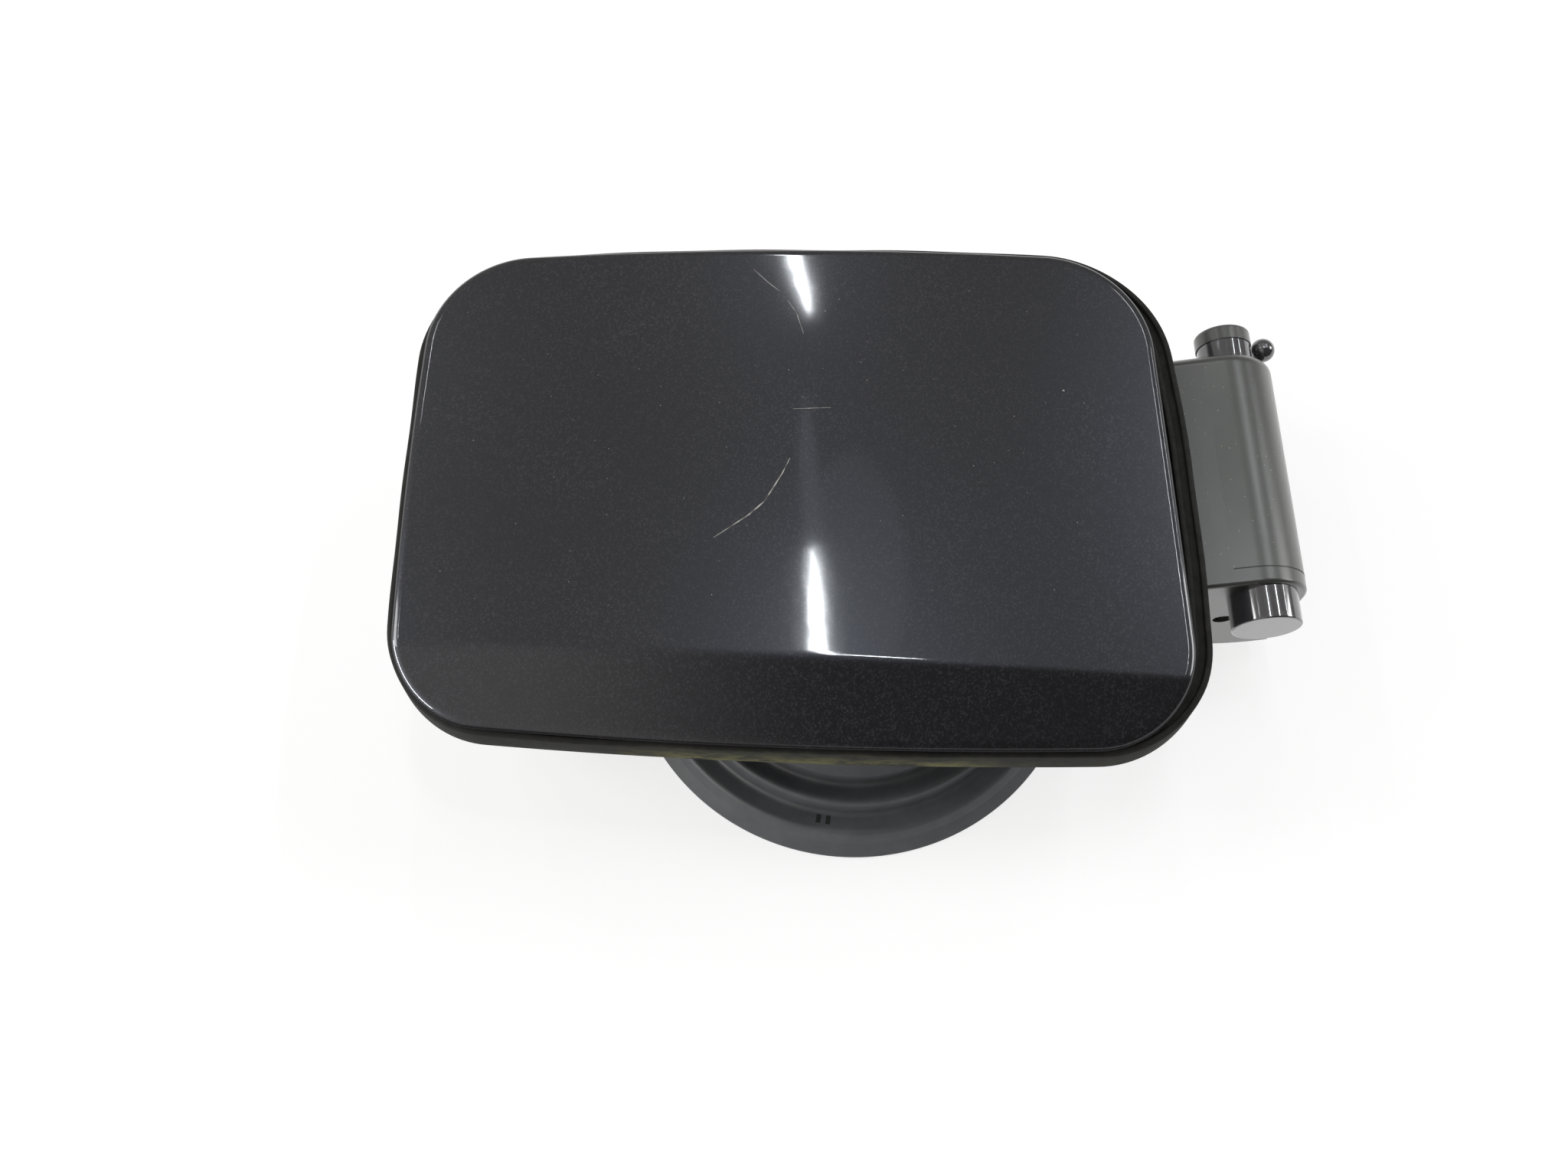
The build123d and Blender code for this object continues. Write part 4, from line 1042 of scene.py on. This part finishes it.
class DustSpecks(bpy.types.Operator):
    """Scatters loose dust on the hinge box and on the paint"""

    bl_idname = "fuel_door.dust_specks"
    bl_label = "Dust Specks"

    def execute(self, context):
        sizes, finish, _ = settings()
        rule = FlapRule(sizes)
        dust = road_dust(finish)
        tree, group = new_tree("dust_on_faces", (
            ("Density", "NodeSocketFloat"), ("Largest", "NodeSocketFloat"), ("Seed", "NodeSocketInt"),
            ("Material", "NodeSocketMaterial")))
        points = add(tree, "GeometryNodeDistributePointsOnFaces", {
            "Mesh": group.outputs["Geometry"], "Density": group.outputs["Density"],
            "Seed": group.outputs["Seed"]})
        speck = add(tree, "GeometryNodeMeshIcoSphere", {"Radius": 1.0, "Subdivisions": 1})
        small = add(tree, "ShaderNodeMath", {0: group.outputs["Largest"], 1: 0.35}, operation="MULTIPLY")
        size = add(tree, "FunctionNodeRandomValue", {
            "Min": small.outputs["Value"], "Max": group.outputs["Largest"], "Seed": group.outputs["Seed"]})
        turn = add(tree, "FunctionNodeRandomValue", {"Min": (0, 0, 0), "Max": (6.3, 6.3, 6.3)},
                   data_type="FLOAT_VECTOR")
        laid = add(tree, "GeometryNodeInstanceOnPoints", {
            "Points": points.outputs["Points"], "Instance": speck.outputs["Mesh"],
            "Rotation": turn.outputs["Value"], "Scale": size.outputs["Value"]})
        real = add(tree, "GeometryNodeRealizeInstances", {"Geometry": laid.outputs["Instances"]})
        finished = add(tree, "GeometryNodeSetMaterial", {
            "Geometry": real.outputs["Geometry"], "Material": group.outputs["Material"]})
        add(tree, "NodeGroupOutput", {"Geometry": finished.outputs["Geometry"]})

        def patch(name, xs, ys, height):
            gx, gy = np.meshgrid(xs, ys)
            z = height(gx, gy)
            verts = np.column_stack([gx.ravel(), gy.ravel(), z.ravel()])
            n = len(xs)
            faces = [(j * n + i, j * n + i + 1, (j + 1) * n + i + 1, (j + 1) * n + i)
                     for j in range(len(ys) - 1) for i in range(n - 1)]
            mesh = bpy.data.meshes.new(name)
            mesh.from_pydata([tuple(v) for v in verts], [], faces)
            return mesh

        box = HingeRule(context.scene.fuel_hinge)
        pin = middle("pivot_pin").x
        for name, x0, x1, density in (
            ("dust_by_seal", -14.8, -10.5, 190000.0),
            ("dust_on_box", -10.5, 6.0, 24000.0),
        ):
            along = np.linspace(-3.0, 46.0, 40) * MM
            roof = patch(name, pin + np.linspace(x0, x1, 16) * MM, along, box.height)
            mesh = bake(name, roof, tree, {
                "Density": density, "Largest": 0.15 * MM, "Seed": 4, "Material": dust})
            put(name, mesh, "housing", dust)
        face = patch("paint_patch", rule.mid[0] + np.linspace(-74, 74, 40) * MM,
                     rule.mid[1] + np.linspace(-34, 48, 30) * MM, rule.height)
        mesh = bake("dust_on_paint", face, tree, {
            "Density": 7000.0, "Largest": 0.11 * MM, "Seed": 9, "Material": dust})
        put("dust_on_paint", mesh, "flap", dust)
        return {"FINISHED"}


def sleeve(name, points, out, rows, sheet):
    """A sheet bent to a section; rows hold places along the pin and heights over the section."""
    rings = []
    for y, over in rows:
        loop = np.vstack([points + out * over, (points + out * (over - sheet))[::-1]])
        rings.append(np.column_stack([loop[:, 0], np.full(len(loop), y), loop[:, 1]]))
    verts, faces = closed_rings(rings, cap_start=True, cap_end=True)
    return make_mesh(name, verts, faces, math.radians(40))


class HingeCover(bpy.types.Operator):
    """Rounds the top of the hinge box, which the solid has cut level with the flange, and paints the shade of
    its seam as a thin dark strip
    """

    bl_idname = "fuel_door.hinge_cover"
    bl_label = "Hinge Cover"

    lift = 0.015 * MM

    def execute(self, context):
        _, finish, _ = settings()
        hinge = context.scene.fuel_hinge
        roof_from, side_down, sheet = hinge.cover
        points, out = HingeRule(hinge).section(roof_from, side_down)
        low, high = hinge.ends
        rows = [(low, self.lift)]
        for turn in np.linspace(0, math.radians(85), 9):
            y = high - hinge.end_round * (1 - math.sin(turn))
            rows.append((y, self.lift - hinge.end_round * (1 - math.cos(turn))))
        cover = sleeve("hinge_cover", points, out, rows, sheet)
        put("hinge_cover", cover, "housing", grained_plastic(finish))
        # The seam by the end cap is a thin dark strip: painted shade of the gap
        half, above, below = hinge.seam
        seam = sleeve("cap_seam", points, out, [(low - half, above), (low + half, above)], above + below)
        put("cap_seam", seam, "housing", boot_rubber(finish.gap_shade))
        return {"FINISHED"}


class HousingFinish(bpy.types.Operator):
    """Gives the CAD nodes that stay in view their finishes"""

    bl_idname = "fuel_door.housing_finish"
    bl_label = "Housing Finish"

    def execute(self, context):
        _, finish, _ = settings()
        plastic = grained_plastic(finish)
        gloss = gloss_plastic(finish)
        seal = seal_rubber(finish)
        zinc = zinc_steel(finish)
        primer = dip_primer(finish)
        arm = nylon(finish)
        for material, nodes in (
            (plastic, ("filler_pot", "hinge_end_cap", "pin_cap")),
            (gloss, ("lower_pivot_cap", "upper_pivot_bush", "spring_peg")),
            (seal, ("lock_grommet", "flap_buffers")),
            (zinc, ("clip_nuts", "latch_hook", "end_cap_screw", "pivot_pin", "return_spring")),
            (arm, ("hinge_arm", "cap_holder")),
            (primer, ("flap_inner_panel",)),
        ):
            for name in nodes:
                finish_node(name, material)
        return {"FINISHED"}


class Stage(bpy.types.Operator):
    """Sets up the camera, the pale floor, the soft light and the strip lamps"""

    bl_idname = "fuel_door.stage"
    bl_label = "Stage"

    def execute(self, context):
        _, _, stage = settings()
        scene = context.scene
        scene.view_settings.view_transform = "Standard"
        el, yaw, roll = stage.elevation, stage.yaw, stage.roll
        back = Vector((math.sin(yaw) * math.cos(el), -math.cos(yaw) * math.cos(el), math.sin(el)))
        right = (-back).cross(Vector((0, 0, 1))).normalized()
        up = right.cross(-back)
        right, up = (
            right * math.cos(roll) + up * math.sin(roll), up * math.cos(roll) - right * math.sin(roll))
        data = bpy.data.cameras.new("camera")
        data.sensor_width = 36
        data.lens = stage.lens
        data.clip_start = 0.01
        camera = bpy.data.objects.new("camera", data)
        place = Vector(stage.target) + back * stage.distance
        camera.matrix_world = Matrix((
            (right.x, up.x, back.x, place.x),
            (right.y, up.y, back.y, place.y),
            (right.z, up.z, back.z, place.z),
            (0, 0, 0, 1)))
        scene.collection.objects.link(camera)
        scene.camera = camera

        half, under = 6.0, -0.2 * MM
        mesh = bpy.data.meshes.new("floor")
        mesh.from_pydata([(x * half, y * half, under) for x, y in ((-1, -1), (1, -1), (1, 1), (-1, 1))],
                         [], [(0, 1, 2, 3)])
        floor = bpy.data.objects.new("floor", mesh)
        scene.collection.objects.link(floor)
        # Seen directly or mirrored the paper glows and takes little shadow; as a bounce it is plain paper
        paper = bpy.data.materials.new("white_paper")
        paper.use_nodes = True
        tree = paper.node_tree
        tree.nodes.clear()
        ray = add(tree, "ShaderNodeLightPath")
        seen = add(tree, "ShaderNodeMath", {0: ray.outputs["Is Camera Ray"], 1: ray.outputs["Is Glossy Ray"]},
                   operation="MAXIMUM")
        seen = add(tree, "ShaderNodeMath", {0: seen.outputs["Value"], 1: ray.outputs["Is Transmission Ray"]},
                   operation="MAXIMUM")
        plain = add(tree, "ShaderNodeBsdfDiffuse", {"Color": (0.86, 0.86, 0.86, 1)})
        shown = add(tree, "ShaderNodeBsdfDiffuse", {"Color": (*[stage.floor_tone] * 3, 1)})
        glow = add(tree, "ShaderNodeEmission", {"Color": (1, 1, 1, 1), "Strength": stage.floor_glow})
        bright = add(tree, "ShaderNodeAddShader", {0: shown.outputs["BSDF"], 1: glow.outputs["Emission"]})
        both = add(tree, "ShaderNodeMixShader", {
            0: seen.outputs["Value"], 1: plain.outputs["BSDF"], 2: bright.outputs["Shader"]})
        add(tree, "ShaderNodeOutputMaterial", {"Surface": both.outputs["Shader"]})
        mesh.materials.append(paper)

        # The room is lighter to the left in front, and even behind; the camera itself sees plain white
        world = bpy.data.worlds.new("soft_room")
        scene.world = world
        world.use_nodes = True
        tree = world.node_tree
        tree.nodes.clear()
        ray = add(tree, "ShaderNodeLightPath")
        way = add(tree, "ShaderNodeTexCoord")
        apart = add(tree, "ShaderNodeSeparateXYZ", {"Vector": way.outputs["Generated"]})
        near = add(tree, "ShaderNodeMapRange", {
            "Value": apart.outputs["X"], "From Min": -0.36, "From Max": 0.04, "To Min": 0.78, "To Max": 0.05},
            interpolation_type="SMOOTHSTEP")
        far = add(tree, "ShaderNodeMapRange", {
            "Value": apart.outputs["X"], "From Min": -0.5, "From Max": 0.5, "To Min": 0.45, "To Max": 0.31})
        side = add(tree, "ShaderNodeMapRange", {
            "Value": apart.outputs["Y"], "From Min": -0.12, "From Max": 0.2, "To Min": 0.0, "To Max": 1.0},
            interpolation_type="SMOOTHSTEP")
        level = add(tree, "ShaderNodeMix", {
            0: side.outputs["Result"], 2: near.outputs["Result"], 3: far.outputs["Result"]},
            data_type="FLOAT")
        room = add(tree, "ShaderNodeBackground", {
            "Color": (1.0, 0.96, 0.91, 1), "Strength": level.outputs[0]})
        white = add(tree, "ShaderNodeBackground", {"Color": (1, 1, 1, 1), "Strength": 1.0})
        both = add(tree, "ShaderNodeMixShader", {
            0: ray.outputs["Is Camera Ray"], 1: room.outputs["Background"], 2: white.outputs["Background"]})
        add(tree, "ShaderNodeOutputWorld", {"Surface": both.outputs["Shader"]})

        h = stage.lamp_height
        wide = stage.lamp_width
        # Places and sizes over the lamp's height, share of the strips' brightness and turn in degrees;
        # the trays are pale reflectors that give the haze beside the lower streak
        for name, x, half_x, y0, y1, share, lean in (
            ("strip_near_left", -0.62, wide / 2, 0.16, 0.36, 1.0, 0),
            ("strip_near_middle", 0.044, wide / 2, 0.06, 0.34, 1.0, 0),
            ("strip_near_right", 0.62, wide / 2, 0.16, 0.36, 1.0, 0),
            ("strip_far_left", -0.62, wide / 2, 0.62, 0.86, 1.0, 0),
            ("strip_far_middle", 0.036, wide / 2, 0.655, 0.9, 1.0, 11),
            ("strip_far_right", 0.62, wide / 2, 0.62, 0.86, 1.0, 0),
            ("strip_across", 0.105, 0.05, 0.085, 0.1, 1.0, 0),
            ("strip_hinge_left", 0.6, wide / 2, 0.28, 0.62, 1.0, 0),
            ("strip_hinge_right", 1.6, wide, 0.5, 1.1, 0.75, 0),
            ("tray_between", 0.044, wide, 0.24, 0.54, 0.006, 0),
            ("tray_wide", 0.1, 5 * wide, 0.18, 0.46, 0.0022, 0),
            ("tray_beside", 0.085, 3 * wide, 0.22, 0.42, 0.0022, 0),
        ):
            lamp = bpy.data.lights.new(name, "AREA")
            lamp.shape = "ELLIPSE"
            lamp.size = 2 * half_x * h
            lamp.color = (0.74, 0.87, 1.0) if name.startswith("tray") else (0.92, 0.96, 1.0)
            lamp.size_y = (y1 - y0) * h
            # The power goes with the area, so that equal shares are equally bright
            lamp.energy = stage.lamp_power * share * lamp.size * lamp.size_y
            obj = bpy.data.objects.new(name, lamp)
            obj.location = (x * h, (y0 + y1) / 2 * h, h)
            obj.rotation_euler.z = math.radians(lean)
            scene.collection.objects.link(obj)
        for name, place, wide, tall, power in (
            ("soft_box_left", (-1.5, 0.3, 1.1), 0.6, 0.6, stage.box_power),
            ("soft_box_right", (1.9, 0.3, 0.85), 0.6, 0.6, stage.box_power),
            ("low_window", (-1.9, -0.5, 0.75), 1.7, 0.2, stage.window_power),
        ):
            lamp = bpy.data.lights.new(name, "AREA")
            lamp.shape = "RECTANGLE"
            lamp.size, lamp.size_y = wide, tall
            lamp.energy = power
            obj = bpy.data.objects.new(name, lamp)
            obj.location = place
            obj.rotation_euler = Vector(place).to_track_quat("Z", "Y").to_euler()
            # The low window only shows as a glint: the room gives its share of the soft light
            obj.visible_diffuse = name != "low_window"
            scene.collection.objects.link(obj)
        return {"FINISHED"}


class FuelDoorPanel(bpy.types.Panel):
    """Lists the fuel door's pieces"""

    bl_idname = "VIEW3D_PT_fuel_door"
    bl_label = "Fuel Door"
    bl_space_type = "VIEW_3D"
    bl_region_type = "UI"
    bl_category = "Fuel Door"

    def draw(self, context):
        for operator in OPERATORS:
            self.layout.operator(operator.bl_idname)
        for name in SETTINGS:
            group = getattr(context.scene, name)
            for key in group.__annotations__:
                self.layout.prop(group, key)


SETTINGS = {
    "fuel_flap": FlapSizes, "fuel_seal": SealSizes, "fuel_boot": BootSizes, "fuel_hinge": HingeSizes,
    "fuel_finish": FinishColours, "fuel_stage": StageSettings}
OPERATORS = (
    HousingFinish, HingeCover, PaintedFlap, PaintMarks, RimSeal, RubberBoot, Fasteners, DustSpecks, Stage)
CLASSES = (*SETTINGS.values(), *OPERATORS, FuelDoorPanel)


def register():
    """Registers the classes and hangs the settings on the scene."""
    for cls in CLASSES:
        bpy.utils.register_class(cls)
    for name, group in SETTINGS.items():
        setattr(bpy.types.Scene, name, bpy.props.PointerProperty(type=group))


def unregister():
    """Takes the settings and the classes away."""
    for name in SETTINGS:
        delattr(bpy.types.Scene, name)
    for cls in reversed(CLASSES):
        bpy.utils.unregister_class(cls)


def main():
    """Dresses the fuel door."""
    register()
    bpy.ops.fuel_door.housing_finish()
    bpy.ops.fuel_door.hinge_cover()
    bpy.ops.fuel_door.painted_flap()
    bpy.ops.fuel_door.paint_marks()
    bpy.ops.fuel_door.rim_seal()
    bpy.ops.fuel_door.rubber_boot()
    bpy.ops.fuel_door.fasteners()
    bpy.ops.fuel_door.dust_specks()
    bpy.ops.fuel_door.stage()


if __name__ == "__main__":
    main()
